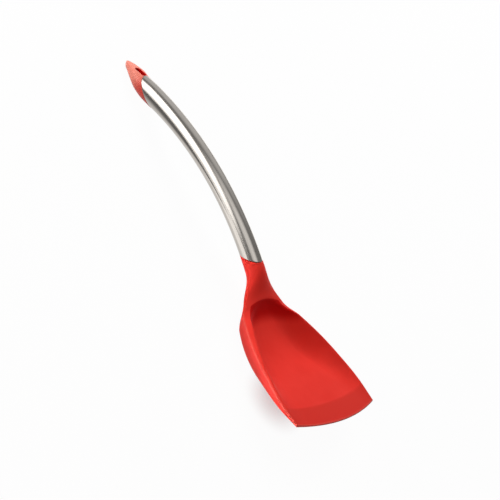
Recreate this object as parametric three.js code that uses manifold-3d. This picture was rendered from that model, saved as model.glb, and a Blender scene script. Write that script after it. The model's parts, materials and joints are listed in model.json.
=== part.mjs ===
// Silicone wok turner: a scoop-shaped head moulded round a stiff core, a curved steel tube and a tail cap
// with a hang slot. Millimetres, +Z up, +X towards the front edge of the blade.
// The pieces are drawn with the sole of the blade level and the origin midway between its front corners.
// The finished tool is then tipped back until it lies on its heel and its tail, as it does on a worktop.
import * as THREE from 'three';
import Module from 'manifold-3d';

const wasm = await Module();
wasm.setup();

// Blade
const BLADE_WIDTH = 88; // across the two front corners
const SHOULDER_WIDTH = 89.6; // the widest place
const SHOULDER_BACK = 15.6; // how far behind the corners that is
const SOLE_WIDTH = 81.6; // over the rims where the flat sole ends
const HEEL_WIDTH = 61; // over the rims where the walls are full
const ARCH_WIDTH = 37; // across the neck where the scoop begins
const SOLE_LENGTH = 44.7; // flat underside, back from the corners
const HEEL_RADIUS = 68.3; // underside, from the sole up to the neck
const FRONT_BULGE = 7; // the front edge bows out this far in the middle
const RIM_SLOPE = 14.6; // degrees, the rims rise in a straight line from the corners
const RIM_WIDTH = 5.3; // sloping top of the side walls, beside the neck, seen from above
const CORNER_RIM = 0.8; // the same at the front corners
const RIM_TILT = 34; // degrees, from the outer edge of the rims up to the edge of the scoop
const WALL_LEAN = 18; // degrees, the walls flare outwards
const BILGE = 6; // length of the bend between sole and wall
const INNER_BEND = 13; // the same on the inside
const FLOOR_THICKNESS = 4;
const LIP_THICKNESS = 1.2; // at the front edge
const LIP_ROOT = 3.6; // where the lip meets the floor
const LIP_LENGTH = 14;
const EDGE_SOFTNESS = 1.2; // rounding of the edge round the scoop
const WALL_POWER = 2.2; // how sharply the inner walls bend up from the floor
const WALL_SHARE = 0.9; // the bend takes up at most this part of half the scoop

// Neck
const NECK_LENGTH = 20.2; // from its root by the steel to the edge of the scoop, along the underside
const NECK_SLOPE = 45; // degrees, where it is steepest
const NECK_RADIUS = 170; // underside, between the root and the steepest place
const ARCH_DEPTH = 8.5; // thickness of the neck at the edge of the scoop
const ARCH_BOW = 4; // the edge comes forward this far at the sides
const RAMP_LENGTH = 19; // back wall of the scoop, down to the floor
const RAMP_POWER = 2.4; // how sharply that wall falls from its edge
const WALL_BUILD = 19.5; // from the edge of the scoop to where the walls are full
const NECK_BLEND = 3; // rounding where the top of the neck runs into the rims
const FLARE_SHARE = 0.5; // the neck is widest at this part of its depth

// Handle tube
const HANDLE_SLOPE = 36.3; // degrees at the root of the neck; the tail is level
const HANDLE_RADIUS = 274; // of the middle line
const TUBE_WIDTH = 15.8; // at the root of the neck
const TUBE_DEPTH = 13.6;
const WAIST_DEPTH = 12.8; // half way along
const TAIL_WIDTH = 16.4;
const TAIL_DEPTH = 15.6;
const TUBE_WALL = 1;
const TAIL_RUN = 160.6; // from the root of the neck to the slanted tail end, along the middle line
const NECK_CUT_ANGLE = 41.5; // degrees, slant of the two ends: the top of the steel is the longer side
const TAIL_CUT_ANGLE = 55;
const ROOT_MARGIN = 3.6; // the neck is plain this far ahead of the steel

// Tail cap
const CAP_LENGTH = 32.7; // from the middle of the slanted cut to the tip
const PROW_WIDTH = 4.4; // the tip seen from above
const PROW_HEIGHT = 5.6; // the tip seen from the side
const PROW_LENGTH = 5.5; // the rounded part of the tip
const PROW_END_SHARE = 0.35; // part of its width that is left at the very end
const PROW_LIFT_SHARE = 0.6; // part of its height that the rounding takes off below
const PROW_POWER = 1.5; // how late the sides draw in
const UNDERSIDE_RISE = 26; // degrees
const KEEL_BEND = 4; // rounding where the underside begins to rise
const TOP_CUT = 1.4; // how much the flat top takes off the round of the cap
const TOP_RUN = 8; // length over which the flat top grows to its width
const SLOT_LENGTH = 10.8;
const SLOT_WIDTH = 4.7;
const SLOT_FROM_TIP = 16.2; // to the middle of the slot

// Cores and fits
const CLEARANCE = 0.3; // between neighbouring pieces
const NECK_SKIN = 2.2; // silicone over the neck of the core
const FLOOR_SKIN = 1.2; // silicone over its plate
const PLATE_SHARE = 0.66; // part of the width over the rims that the plate fills
const PLATE_BACK = 7; // the plate stops this far behind the lip
const SPIGOT_LENGTH = 24; // of the core in the tube
const CORE_STEP = 2; // the core is full this far behind the cut
const PLUG_LENGTH = 26; // of the tail plug in the tube
const PLUG_STEP = 4; // the plug narrows this far ahead of the cut
const TONGUE_SKIN = 2.4; // silicone round the tongue of the plug

// Mesh fineness
const FLAT_STEPS = 5; // across half of the sole, and of the floor
const BEND_STEPS = 4;
const WALL_STEPS = 3;
const TUBE_STEPS = 32; // round the tube
const CORE_STEPS = 28; // round the cores
const RINGS = { sleeve: 5, neck: 7, edge: 9, heel: 14, sole: 9, lip: 7, plate: 10, spigot: 6, tube: 26, cap: 14 };
const EDGE_BEFORE = 3; // the rings lie closer from here
const EDGE_AFTER = 7; // to here, about the edge of the scoop

// Colours, and weights in grams per cubic millimetre
const SILICONE = { color: 0xd8402f, roughness: 0.5, metalness: 0, density: 0.00115 };
const STEEL = { color: 0xb9b4ac, roughness: 0.32, metalness: 1, density: 0.0079 };
const NYLON = { color: 0x8d8f90, roughness: 0.6, metalness: 0, density: 0.00135 };

const RADIAN = Math.PI / 180;
const HALF_STEPS = FLAT_STEPS + BEND_STEPS + WALL_STEPS;
const mix = (a, b, t) => a + (b - a) * t;
const clamp = (t) => Math.min(1, Math.max(0, t));
const ease = (t) => clamp(t) ** 2 * (3 - 2 * clamp(t));
const softLess = (a, b, soft) => Math.min(a, b) - Math.max(soft - Math.abs(a - b), 0) ** 2 / (4 * soft);
const softMore = (a, b, soft) => -softLess(-a, -b, soft);

// A smooth curve through [position, value] pairs, level at its start, that never overshoots them.
function curveThrough(pairs) {
  const last = pairs.length - 1;
  const rises = pairs.slice(1).map(([at, value], i) => (value - pairs[i][1]) / (at - pairs[i][0]));
  const slopes = pairs.map((_, i) => {
    if (i === 0) return 0;
    if (i === last) return rises[last - 1];
    const [before, after] = [rises[i - 1], rises[i]];
    return before * after <= 0 ? 0 : (2 * before * after) / (before + after);
  });
  return (at) => {
    let i = 0;
    while (i < last - 1 && at > pairs[i + 1][0]) i++;
    const span = pairs[i + 1][0] - pairs[i][0];
    const t = clamp((at - pairs[i][0]) / span);
    const bend = ((1 - t) * slopes[i] - t * slopes[i + 1]) * span;
    return mix(pairs[i][1], pairs[i + 1][1], ease(t)) + t * (1 - t) * bend;
  };
}

// Places along the tool. A frame has a point in the middle plane and the lean of its section from the
// vertical. Runs are measured from the root of the neck: forwards along the underside for the head, backwards
// along the middle line for the handle.
const sine = (degrees) => Math.sin(degrees * RADIAN);
const cosine = (degrees) => Math.cos(degrees * RADIAN);
const tangent = (degrees) => Math.tan(degrees * RADIAN);
const neckRun = NECK_RADIUS * (NECK_SLOPE - HANDLE_SLOPE) * RADIAN;
const soleRun = neckRun + HEEL_RADIUS * NECK_SLOPE * RADIAN;
const frontRun = soleRun + SOLE_LENGTH;
const wallRun = NECK_LENGTH + WALL_BUILD;
const lipRun = frontRun - LIP_LENGTH;

function headFrame(run) {
  if (run >= soleRun) return { x: run - frontRun, z: 0, lean: 0 };
  const lean = run >= neckRun
    ? NECK_SLOPE * RADIAN - (run - neckRun) / HEEL_RADIUS
    : HANDLE_SLOPE * RADIAN + run / NECK_RADIUS;
  const radius = run >= neckRun ? HEEL_RADIUS : -NECK_RADIUS;
  const turn = HEEL_RADIUS - radius;
  return {
    x: -SOLE_LENGTH - turn * sine(NECK_SLOPE) - radius * Math.sin(lean),
    z: HEEL_RADIUS - turn * cosine(NECK_SLOPE) - radius * Math.cos(lean),
    lean,
  };
}

const root = headFrame(0);
const handleCentre = {
  x: root.x - (HANDLE_RADIUS - TUBE_DEPTH / 2) * sine(HANDLE_SLOPE),
  z: root.z - (HANDLE_RADIUS - TUBE_DEPTH / 2) * cosine(HANDLE_SLOPE),
};

function handleFrame(run) {
  const lean = Math.max(0, HANDLE_SLOPE * RADIAN - run / HANDLE_RADIUS);
  const straight = Math.max(0, run - HANDLE_RADIUS * HANDLE_SLOPE * RADIAN);
  return {
    x: handleCentre.x + HANDLE_RADIUS * Math.sin(lean) - straight,
    z: handleCentre.z + HANDLE_RADIUS * Math.cos(lean),
    lean,
  };
}

function place(frame, side, up, forward = 0) {
  const [s, c] = [Math.sin(frame.lean), Math.cos(frame.lean)];
  return [frame.x + up * s + forward * c, side, frame.z + up * c - forward * s];
}

// Outline of the tube, and the runs of its two slanted ends at a height over the middle line.
function tubeOval(run) {
  const t = clamp(run / TAIL_RUN);
  const depth = TUBE_DEPTH * (1 - t) * (1 - 2 * t) + 4 * WAIST_DEPTH * t * (1 - t) + TAIL_DEPTH * t * (2 * t - 1);
  return { side: mix(TUBE_WIDTH, TAIL_WIDTH, t * t) / 2, up: depth / 2 };
}

const neckCut = (up) => ROOT_MARGIN + (TUBE_DEPTH / 2 - up) * tangent(NECK_CUT_ANGLE);
const tailCut = (up) => TAIL_RUN + up * tangent(TAIL_CUT_ANGLE);

// Head: sizes of the section at a run.
const halfWidth = curveThrough([
  [0, TUBE_WIDTH / 2],
  [NECK_LENGTH, ARCH_WIDTH / 2],
  [wallRun, HEEL_WIDTH / 2],
  [soleRun, SOLE_WIDTH / 2],
  [frontRun - SHOULDER_BACK, SHOULDER_WIDTH / 2],
  [frontRun, BLADE_WIDTH / 2],
]);

function headSection(run) {
  const frame = headFrame(run);
  const half = halfWidth(run);
  const rise = tangent(RIM_SLOPE);
  const neckTop = run < NECK_LENGTH
    ? mix(TUBE_DEPTH, ARCH_DEPTH, ease(run / NECK_LENGTH))
    : ARCH_DEPTH * (1 - ease((run - NECK_LENGTH) / (2 * WALL_BUILD)));
  const rimTop = (LIP_THICKNESS - rise * frame.x - frame.z) / (Math.cos(frame.lean) + rise * Math.sin(frame.lean));
  const top = run < wallRun ? softMore(neckTop, rimTop, NECK_BLEND) : rimTop;
  const boxed = ease((run - NECK_LENGTH) / WALL_BUILD);
  const channel = ease((run - NECK_LENGTH / 2) / (wallRun - NECK_LENGTH / 2));
  const fromFront = frontRun - run;
  const thickness = fromFront < LIP_LENGTH
    ? mix(LIP_THICKNESS, LIP_ROOT, fromFront / LIP_LENGTH)
    : mix(LIP_ROOT, FLOOR_THICKNESS, ease((fromFront - LIP_LENGTH) / LIP_LENGTH));
  const rimWidth = Math.min(half / 2, mix(CORNER_RIM, RIM_WIDTH, fromFront / (frontRun - NECK_LENGTH)));
  return {
    frame,
    run,
    half,
    top,
    rim: top * mix(FLARE_SHARE, 1, channel),
    channel,
    boxed,
    thickness,
    rimWidth,
    crest: top + boxed * tangent(RIM_TILT) * rimWidth,
    bow: FRONT_BULGE * ease(1 - fromFront / SOLE_LENGTH),
  };
}

const bowAt = (section, side) => section.bow * (1 - (side / section.half) ** 2);

// Height of the scoop's floor and back wall over the underside.
function floorAt(section, side) {
  const edge = NECK_LENGTH + ARCH_BOW * (side / (ARCH_WIDTH / 2)) ** 2;
  const back = Math.max(0, 1 - (section.run - edge) / RAMP_LENGTH);
  return section.thickness + (ARCH_DEPTH - FLOOR_THICKNESS) * back ** RAMP_POWER;
}

// Half of the level part of the floor, between the bends of the inner walls.
function flatHalf(section, floor) {
  const inner = section.half - section.rimWidth;
  const depth = Math.max(0, section.crest - floor);
  return inner - Math.min(WALL_SHARE * inner, depth * tangent(WALL_LEAN) + INNER_BEND);
}

// Upper surface: the round of the neck or the slope of the rims, with the scoop sunk into it.
function upperAt(section, side) {
  const { half, top, rim, rimWidth, crest } = section;
  const slope = (crest - top) * Math.min(1, (half - Math.abs(side)) / rimWidth);
  const roof = rim + (top - rim) * Math.sqrt(Math.max(0, 1 - (side / half) ** 2)) + slope;
  const floor = floorAt(section, side);
  const flat = flatHalf(section, floor);
  const climb = clamp((Math.abs(side) - flat) / (half - rimWidth - flat));
  const bowl = floor + Math.max(0, crest - floor) * climb ** WALL_POWER;
  return softLess(roof, bowl, Math.min(EDGE_SOFTNESS, top / 4));
}

// Half of the lower outline, from the keel to the outer edge of the rim, as [side, up] pairs.
function lowerHalf(section) {
  const { half, rim, boxed } = section;
  const foot = half - rim * tangent(WALL_LEAN);
  const wall = Math.hypot(half - foot, rim);
  const bend = Math.min(BILGE, wall / 3);
  const wallTo = (d) => [foot + (half - foot) * (d / wall), rim * (d / wall)];
  const points = [];
  for (let i = 0; i <= HALF_STEPS; i++) {
    const angle = (i / HALF_STEPS) * (Math.PI / 2);
    const round = [half * Math.sin(angle), rim * (1 - Math.cos(angle))];
    let box;
    if (i <= FLAT_STEPS) {
      box = [(foot - bend) * (i / FLAT_STEPS), 0];
    } else if (i <= FLAT_STEPS + BEND_STEPS) {
      const t = (i - FLAT_STEPS) / BEND_STEPS;
      const [side, up] = wallTo(bend);
      box = [(1 - t) ** 2 * (foot - bend) + 2 * t * (1 - t) * foot + t * t * side, t * t * up];
    } else {
      box = wallTo(mix(bend, wall, (i - FLAT_STEPS - BEND_STEPS) / WALL_STEPS));
    }
    points.push([mix(round[0], box[0], boxed), mix(round[1], box[1], boxed)]);
  }
  return points;
}

// Half of the upper outline, from the middle to the inner edge of the rim.
function upperHalf(section) {
  const { half, rimWidth, channel } = section;
  const inner = half - rimWidth;
  const flat = flatHalf(section, floorAt(section, 0));
  const points = [];
  for (let i = 0; i <= HALF_STEPS; i++) {
    const round = half * Math.sin((i / (HALF_STEPS + 1)) * (Math.PI / 2));
    const box = i <= FLAT_STEPS
      ? flat * (i / FLAT_STEPS)
      : mix(flat, inner, (i - FLAT_STEPS) / (HALF_STEPS - FLAT_STEPS));
    const side = mix(round, box, channel);
    points.push([side, upperAt(section, side)]);
  }
  return points;
}

const mirrored = (half) => [...half.slice(1).reverse().map(([side, up]) => [-side, up]), ...half];

const outlineOf = (section) => [...mirrored(lowerHalf(section)), ...mirrored(upperHalf(section)).reverse()];

function headRing(run) {
  const section = headSection(run);
  return outlineOf(section).map(([side, up]) => place(section.frame, side, up, bowAt(section, side)));
}

// The sleeve behind the root follows the tube up to its slanted end; share 1 is the end of the sleeve.
function sleeveRing(share) {
  return outlineOf(headSection(0)).map(([side, up]) => {
    const [across, over] = [side / (TUBE_WIDTH / 2), (up - TUBE_DEPTH / 2) / (TUBE_DEPTH / 2)];
    const run = share * (neckCut(over * TUBE_DEPTH / 2) - CLEARANCE / cosine(NECK_CUT_ANGLE));
    const here = tubeOval(run);
    return place(handleFrame(run), across * here.side, over * here.up);
  });
}

// Closed solids from rings of points. The ends are closed by strips between the two halves of the ring.
function meshSolid(points, triangles) {
  let volume = 0;
  for (const [a, b, c] of triangles) {
    const [p, q, r] = [points[a], points[b], points[c]].map((v) => new THREE.Vector3(...v));
    volume += p.dot(q.cross(r));
  }
  const facing = volume > 0 ? triangles : triangles.map(([a, b, c]) => [a, c, b]);
  return new wasm.Manifold(new wasm.Mesh({
    numProp: 3,
    vertProperties: new Float32Array(points.flat()),
    triVerts: new Uint32Array(facing.flat()),
  }));
}

function skin(rings) {
  const count = rings[0].length;
  const triangles = [];
  for (let k = 0; k + 1 < rings.length; k++) {
    for (let i = 0; i < count; i++) {
      const j = (i + 1) % count;
      const [a, b, c, d] = [k * count + i, k * count + j, (k + 1) * count + j, (k + 1) * count + i];
      triangles.push([a, b, c], [a, c, d]);
    }
  }
  return triangles;
}

function loft(rings) {
  const count = rings[0].length;
  const triangles = skin(rings);
  for (const [start, flip] of [[0, true], [(rings.length - 1) * count, false]]) {
    for (let i = 0; i < count / 2 - 1; i++) {
      const [a, b, c, d] = [i, i + 1, count - 2 - i, count - 1 - i].map((v) => v + start);
      triangles.push(flip ? [a, c, b] : [a, b, c], flip ? [a, d, c] : [a, c, d]);
    }
  }
  return meshSolid(rings.flat(), triangles);
}

function pipeSolid(outerRings, innerRings) {
  const loop = [...outerRings, ...innerRings.toReversed()];
  return meshSolid(loop.flat(), skin([...loop, outerRings[0]]).map((t) => t.map((v) => v % loop.flat().length)));
}

// Runs from one place to another in even steps.
const steps = (from, to, count) => Array.from({ length: count + 1 }, (_, i) => mix(from, to, i / count));

// Oval outline round a middle; a power of 2 is an ellipse, a higher one is boxier.
function oval(count, halfSide, halfUp, power = 2) {
  return Array.from({ length: count }, (_, i) => {
    const angle = ((i + 0.5) / count) * 2 * Math.PI;
    const [c, s] = [Math.cos(angle), Math.sin(angle)];
    return [halfSide * Math.sign(c) * Math.abs(c) ** (2 / power), halfUp * Math.sign(s) * Math.abs(s) ** (2 / power)];
  });
}

// Head core: a spigot in the tube, a neck and a plate in the floor of the scoop.
function coreRing(run, grow) {
  const section = headSection(run);
  const flat = ease(run / wallRun);
  const cover = mix(NECK_SKIN, FLOOR_SKIN, flat);
  const roof = Math.min(section.top, floorAt(section, 0)) - cover;
  const middle = (roof + cover) / 2;
  const side = mix(section.half - cover, section.half * PLATE_SHARE, flat);
  return oval(CORE_STEPS, side + grow, (roof - cover) / 2 + grow, mix(2, 4, flat))
    .map(([y, up]) => place(section.frame, y, middle + up, bowAt(section, y)));
}

const plateRun = lipRun - PLATE_BACK;
const coreRuns = [...steps(0, wallRun, RINGS.heel), ...steps(wallRun, plateRun, RINGS.plate).slice(1)];
const stepRun = neckCut(-TUBE_DEPTH / 2) + CORE_STEP;

function neckRing(run, grow) {
  const here = tubeOval(run);
  const inset = NECK_SKIN - grow;
  return oval(CORE_STEPS, here.side - inset, here.up - inset).map(([y, up]) => place(handleFrame(run), y, up));
}

function spigotRing(run) {
  const { side, up } = tubeOval(run);
  const inset = TUBE_WALL + CLEARANCE;
  return oval(CORE_STEPS, side - inset, up - inset).map(([y, v]) => place(handleFrame(run), y, v));
}

const core = loft([
  ...steps(stepRun + SPIGOT_LENGTH, stepRun, RINGS.spigot).map(spigotRing),
  ...steps(stepRun, 0, RINGS.sleeve).slice(0, -1).map((run) => neckRing(run, 0)),
  ...coreRuns.map((run) => coreRing(run, 0)),
]);
const coreRoom = loft([
  ...steps(stepRun, 0, RINGS.sleeve).slice(0, -1).map((run) => neckRing(run, CLEARANCE)),
  ...coreRuns.map((run) => coreRing(run, CLEARANCE)),
  coreRing(plateRun + CLEARANCE, CLEARANCE),
]);

const headRuns = [
  ...steps(0, NECK_LENGTH - EDGE_BEFORE, RINGS.neck),
  ...steps(NECK_LENGTH - EDGE_BEFORE, NECK_LENGTH + EDGE_AFTER, RINGS.edge).slice(1),
  ...steps(NECK_LENGTH + EDGE_AFTER, soleRun, RINGS.heel).slice(1),
  ...steps(soleRun, lipRun, RINGS.sole).slice(1),
  ...steps(lipRun, frontRun, RINGS.lip).slice(1),
];
const sleeveShares = steps(1, 0, RINGS.sleeve).slice(0, -1);
const head = loft([...sleeveShares.map(sleeveRing), ...headRuns.map(headRing)]).subtract(coreRoom);

// Handle tube, cut on a slant at both ends.
function tubeRing(share, inset) {
  return oval(TUBE_STEPS, 1, 1).map(([across, over]) => {
    const run = mix(neckCut(over * (TUBE_DEPTH / 2 - inset)), tailCut(over * (TAIL_DEPTH / 2 - inset)), share);
    const here = tubeOval(run);
    return place(handleFrame(run), across * (here.side - inset), over * (here.up - inset));
  });
}

const tubeShares = steps(0, 1, RINGS.tube);
const tube = pipeSolid(tubeShares.map((t) => tubeRing(t, 0)), tubeShares.map((t) => tubeRing(t, TUBE_WALL)));

// Tail cap: the oval of the tube drawn out to a prow with a flat top, a rising underside and the hang slot.
const tipRun = TAIL_RUN + CAP_LENGTH;
const taperRun = tailCut(TAIL_DEPTH / 2);
const prowRun = tipRun - PROW_LENGTH;

function capPoint(run, c, s) {
  const taper = clamp((run - taperRun) / (tipRun - taperRun));
  const nose = clamp((run - prowRun) / PROW_LENGTH);
  const roundOff = Math.sqrt(1 - (1 - PROW_END_SHARE ** 2) * nose * nose);
  const side = mix(TAIL_WIDTH, PROW_WIDTH, taper ** PROW_POWER) / 2 * roundOff;
  const roof = TAIL_DEPTH / 2;
  const crown = roof + TOP_CUT * ease((run - taperRun) / TOP_RUN);
  const keel = roof - PROW_HEIGHT - Math.max(0, prowRun - run) * tangent(UNDERSIDE_RISE);
  const under = softMore(-roof, keel, KEEL_BEND) + PROW_HEIGHT * PROW_LIFT_SHARE * (1 - roundOff);
  return [side * c, Math.min(roof, mix(under, crown, (s + 1) / 2))];
}

function capRing(share) {
  return oval(TUBE_STEPS, 1, 1).map(([c, s]) => {
    const start = tailCut(s * TAIL_DEPTH / 2) + CLEARANCE / cosine(TAIL_CUT_ANGLE);
    const run = mix(start, tipRun, share);
    return place(handleFrame(run), ...capPoint(run, c, s));
  });
}

const slotRun = tipRun - SLOT_FROM_TIP;
const slotEnd = (SLOT_LENGTH - SLOT_WIDTH) / 2;
function slotRing(up) {
  return oval(CORE_STEPS, SLOT_WIDTH / 2, SLOT_WIDTH / 2).map(([y, along]) => (
    place(handleFrame(slotRun), y, up, along + slotEnd * Math.sign(along))
  ));
}
const slot = loft([-TAIL_DEPTH, TAIL_DEPTH].map(slotRing));

// Tail plug: a spigot in the tube and a narrower tongue in the cap, short of the slot.
const plugRun = tailCut(-TAIL_DEPTH / 2) - PLUG_STEP;
const tongueRun = slotRun - SLOT_LENGTH / 2 - TONGUE_SKIN;
function tongueRing(run, grow) {
  const inset = TUBE_WALL + TONGUE_SKIN - grow;
  return oval(CORE_STEPS, TAIL_WIDTH / 2 - inset, TAIL_DEPTH / 2 - inset).map(([y, up]) => place(handleFrame(run), y, up));
}
const plug = loft([
  ...steps(plugRun - PLUG_LENGTH, plugRun, RINGS.spigot).map(spigotRing),
  ...steps(plugRun, tongueRun, RINGS.spigot).map((run) => tongueRing(run, 0)),
]);
const tongueRuns = steps(plugRun, tongueRun + CLEARANCE, RINGS.spigot);
const tongueRoom = loft(tongueRuns.map((run) => tongueRing(run, CLEARANCE)));
const cap = loft(steps(0, 1, RINGS.cap).map(capRing)).subtract(tongueRoom).subtract(slot);

// Pieces of the tool
function piece(name, solid, finish) {
  const { vertProperties, triVerts } = solid.getMesh();
  const geometry = new THREE.BufferGeometry();
  geometry.setAttribute('position', new THREE.BufferAttribute(vertProperties, 3));
  geometry.setIndex(new THREE.BufferAttribute(triVerts, 1));
  geometry.computeVertexNormals();
  const { color, roughness, metalness, density } = finish;
  const mesh = new THREE.Mesh(geometry, new THREE.MeshStandardMaterial({ color, roughness, metalness }));
  mesh.name = name;
  mesh.userData.density = density;
  return mesh;
}

const headGroup = new THREE.Group();
headGroup.add(piece('silicone_head', head, SILICONE), piece('head_core', core, NYLON));
const handleGroup = new THREE.Group();
handleGroup.add(piece('handle_tube', tube, STEEL), piece('tail_plug', plug, NYLON), piece('tail_cap', cap, SILICONE));

const tool = new THREE.Group();
tool.name = 'wok_turner';
tool.add(headGroup, handleGroup);

// Rest: tip the tool back onto the edge of its side outline that lies under its centre of mass.
function balance(meshes) {
  let [mass, moment] = [0, 0];
  for (const { geometry, userData } of meshes) {
    const corner = (i) => new THREE.Vector3().fromBufferAttribute(geometry.attributes.position, geometry.index.getX(i));
    for (let i = 0; i < geometry.index.count; i += 3) {
      const [a, b, c] = [corner(i), corner(i + 1), corner(i + 2)];
      const part = userData.density * a.dot(b.clone().cross(c));
      mass += part;
      moment += part * (a.x + b.x + c.x) / 4;
    }
  }
  return moment / mass;
}

function lowerOutline(meshes) {
  const points = meshes.flatMap(({ geometry }) => {
    const at = geometry.attributes.position;
    return Array.from({ length: at.count }, (_, i) => [at.getX(i), at.getZ(i)]);
  });
  points.sort((p, q) => p[0] - q[0] || p[1] - q[1]);
  const hull = [];
  const turn = (o, p, q) => (p[0] - o[0]) * (q[1] - o[1]) - (p[1] - o[1]) * (q[0] - o[0]);
  for (const point of points) {
    while (hull.length > 1 && turn(hull.at(-2), hull.at(-1), point) <= 0) hull.pop();
    hull.push(point);
  }
  return hull;
}

const meshes = [...headGroup.children, ...handleGroup.children];
const outline = lowerOutline(meshes);
const middle = balance(meshes);
const heel = outline.findIndex(([x]) => x > middle);
const tip = Math.atan2(outline[heel - 1][1] - outline[heel][1], outline[heel][0] - outline[heel - 1][0]);
tool.rotation.y = -tip;
tool.updateMatrixWorld(true);
const bounds = new THREE.Box3().setFromObject(tool, true);
tool.position.set(-(bounds.min.x + bounds.max.x) / 2, 0, -bounds.min.z);

export default tool;
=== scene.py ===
"""Looks of a silicone wok turner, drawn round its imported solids.

The head, the handle tube and the tail cap are drawn again from the sizes of the solids, with finer
surfaces and soft edges, and get procedural finishes. The two hidden cores stay as they are packed.
Sizes are in millimetres in the frame of the blade: the sole is level, the origin lies midway between
the front corners, +X points to the front and +Z up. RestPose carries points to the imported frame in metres.
"""

import json
import logging
import math
from dataclasses import dataclass, field
from enum import Enum

import bmesh
import bpy
import numpy as np
from mathutils import Matrix, Vector

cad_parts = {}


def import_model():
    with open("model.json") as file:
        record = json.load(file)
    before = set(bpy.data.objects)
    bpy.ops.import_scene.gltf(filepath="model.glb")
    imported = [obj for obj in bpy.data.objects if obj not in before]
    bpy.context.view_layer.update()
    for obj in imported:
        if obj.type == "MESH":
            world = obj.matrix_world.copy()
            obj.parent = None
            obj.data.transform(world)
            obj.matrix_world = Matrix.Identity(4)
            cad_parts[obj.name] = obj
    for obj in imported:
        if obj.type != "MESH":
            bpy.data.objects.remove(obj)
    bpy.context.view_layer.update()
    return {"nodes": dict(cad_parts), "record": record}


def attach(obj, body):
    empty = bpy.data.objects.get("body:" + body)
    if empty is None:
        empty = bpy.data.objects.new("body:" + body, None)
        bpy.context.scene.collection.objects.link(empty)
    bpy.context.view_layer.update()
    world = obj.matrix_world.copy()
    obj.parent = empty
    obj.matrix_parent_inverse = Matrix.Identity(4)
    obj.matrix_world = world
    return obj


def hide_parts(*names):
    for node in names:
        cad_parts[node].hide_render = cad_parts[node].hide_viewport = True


LOG = logging.getLogger("wok_turner")
MM = 0.001
PHOTO_PIXELS = 500
NOISE_MIDDLE = (0.3, 0.7)  # most values of a noise pattern lie in this range

Values = float | np.ndarray  # one number or many


class Slot(Enum):
    """Material slots of the record."""

    SILICONE = "red_silicone"
    STEEL = "satin_steel"
    NYLON = "grey_nylon"


class Ray(Enum):
    """Kinds of light ray that see the bright studio."""

    CAMERA = "Is Camera Ray"
    GLOSSY = "Is Glossy Ray"
    TRANSMISSION = "Is Transmission Ray"


def mix(a: Values, b: Values, t: Values) -> Values:
    """Value a share t of the way from a to b."""
    return a + (b - a) * t


def ease(t: Values) -> Values:
    """Smooth step from 0 to 1."""
    t = np.clip(t, 0.0, 1.0)
    return t * t * (3.0 - 2.0 * t)


def soft_less(a: Values, b: Values, soft: float) -> Values:
    """Lesser of two values, rounded where they are about equal.

    Args:
        a: First values.
        b: Second values.
        soft: How close the values are where the rounding begins.

    Returns:
        The rounded lesser values.
    """
    return np.minimum(a, b) - np.maximum(soft - np.abs(a - b), 0.0) ** 2 / (4.0 * soft)


def soft_more(a: Values, b: Values, soft: float) -> Values:
    """Greater of two values, rounded where they are about equal."""
    return -soft_less(-a, -b, soft)


@dataclass(frozen=True)
class SmoothCurve:
    """A curve through [position, value] pairs, level at its start, that never overshoots them.

    Attributes:
        pairs: Positions and values, in order.
    """

    pairs: tuple[tuple[float, float], ...]

    def slopes(self) -> list[float]:
        """Works out the slope of the curve at each pair.

        Returns:
            The slopes, in order.
        """
        rises = [(b[1] - a[1]) / (b[0] - a[0]) for a, b in zip(self.pairs, self.pairs[1:])]
        found = [0.0]
        for before, after in zip(rises, rises[1:]):
            turns = before * after <= 0.0
            found.append(0.0 if turns else 2.0 * before * after / (before + after))
        return found + [rises[-1]]

    def at(self, position: float) -> float:
        """Reads the curve.

        Args:
            position: Where it is read.

        Returns:
            The value there.
        """
        index = 0
        while index < len(self.pairs) - 2 and position > self.pairs[index + 1][0]:
            index += 1
        (start, low), (end, high) = self.pairs[index], self.pairs[index + 1]
        first, second = self.slopes()[index : index + 2]
        t = min(1.0, max(0.0, (position - start) / (end - start)))
        bend = ((1.0 - t) * first - t * second) * (end - start)
        return float(mix(low, high, ease(t)) + t * (1.0 - t) * bend)


@dataclass(frozen=True)
class Station:
    """A place along the tool: a point in the middle plane and the lean of its section.

    Attributes:
        x: Forward place of the point.
        z: Height of the point.
        lean: Angle of the section from the vertical, in radians.
    """

    x: float
    z: float
    lean: float

    def place(self, side: np.ndarray, up: np.ndarray, forward: np.ndarray) -> np.ndarray:
        """Points of the section.

        Args:
            side: Places across the tool.
            up: Places along the leaning vertical.
            forward: Places ahead of the section.

        Returns:
            An array of points, one row each.
        """
        s, c = math.sin(self.lean), math.cos(self.lean)
        return np.stack([self.x + up * s + forward * c, side, self.z + up * c - forward * s], axis=1)


@dataclass(frozen=True)
class RestPose:
    """How the tool lies on the worktop: tipped back about Y onto its heel and its tail.

    Attributes:
        tip: Angle that the blade is tipped by, in radians.
        x: Where the blade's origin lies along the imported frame, in metres.
        z: How high the blade's origin lies, in metres.
    """

    tip: float
    x: float
    z: float

    @staticmethod
    def from_record(record: dict, sole_back: float) -> "RestPose":
        """Reads the pose from the mount on the sole of the blade.

        Args:
            record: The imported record.
            sole_back: How far behind the front corners that mount lies, in millimetres.

        Returns:
            The pose of the blade's frame.
        """
        mount = next(m for m in record["mounts"] if m["name"] == "blade_sole")
        tip = math.atan2(mount["axis"][0], -mount["axis"][2])
        x = mount["pos_m"][0] + sole_back * MM * math.cos(tip)
        z = mount["pos_m"][2] + sole_back * MM * math.sin(tip)
        return RestPose(tip, x, z)

    def matrix(self) -> Matrix:
        """Carries points from millimetres in the blade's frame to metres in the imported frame."""
        turn = Matrix.Rotation(-self.tip, 4, "Y")
        return Matrix.Translation((self.x, 0.0, self.z)) @ turn @ Matrix.Scale(MM, 4)


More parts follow.
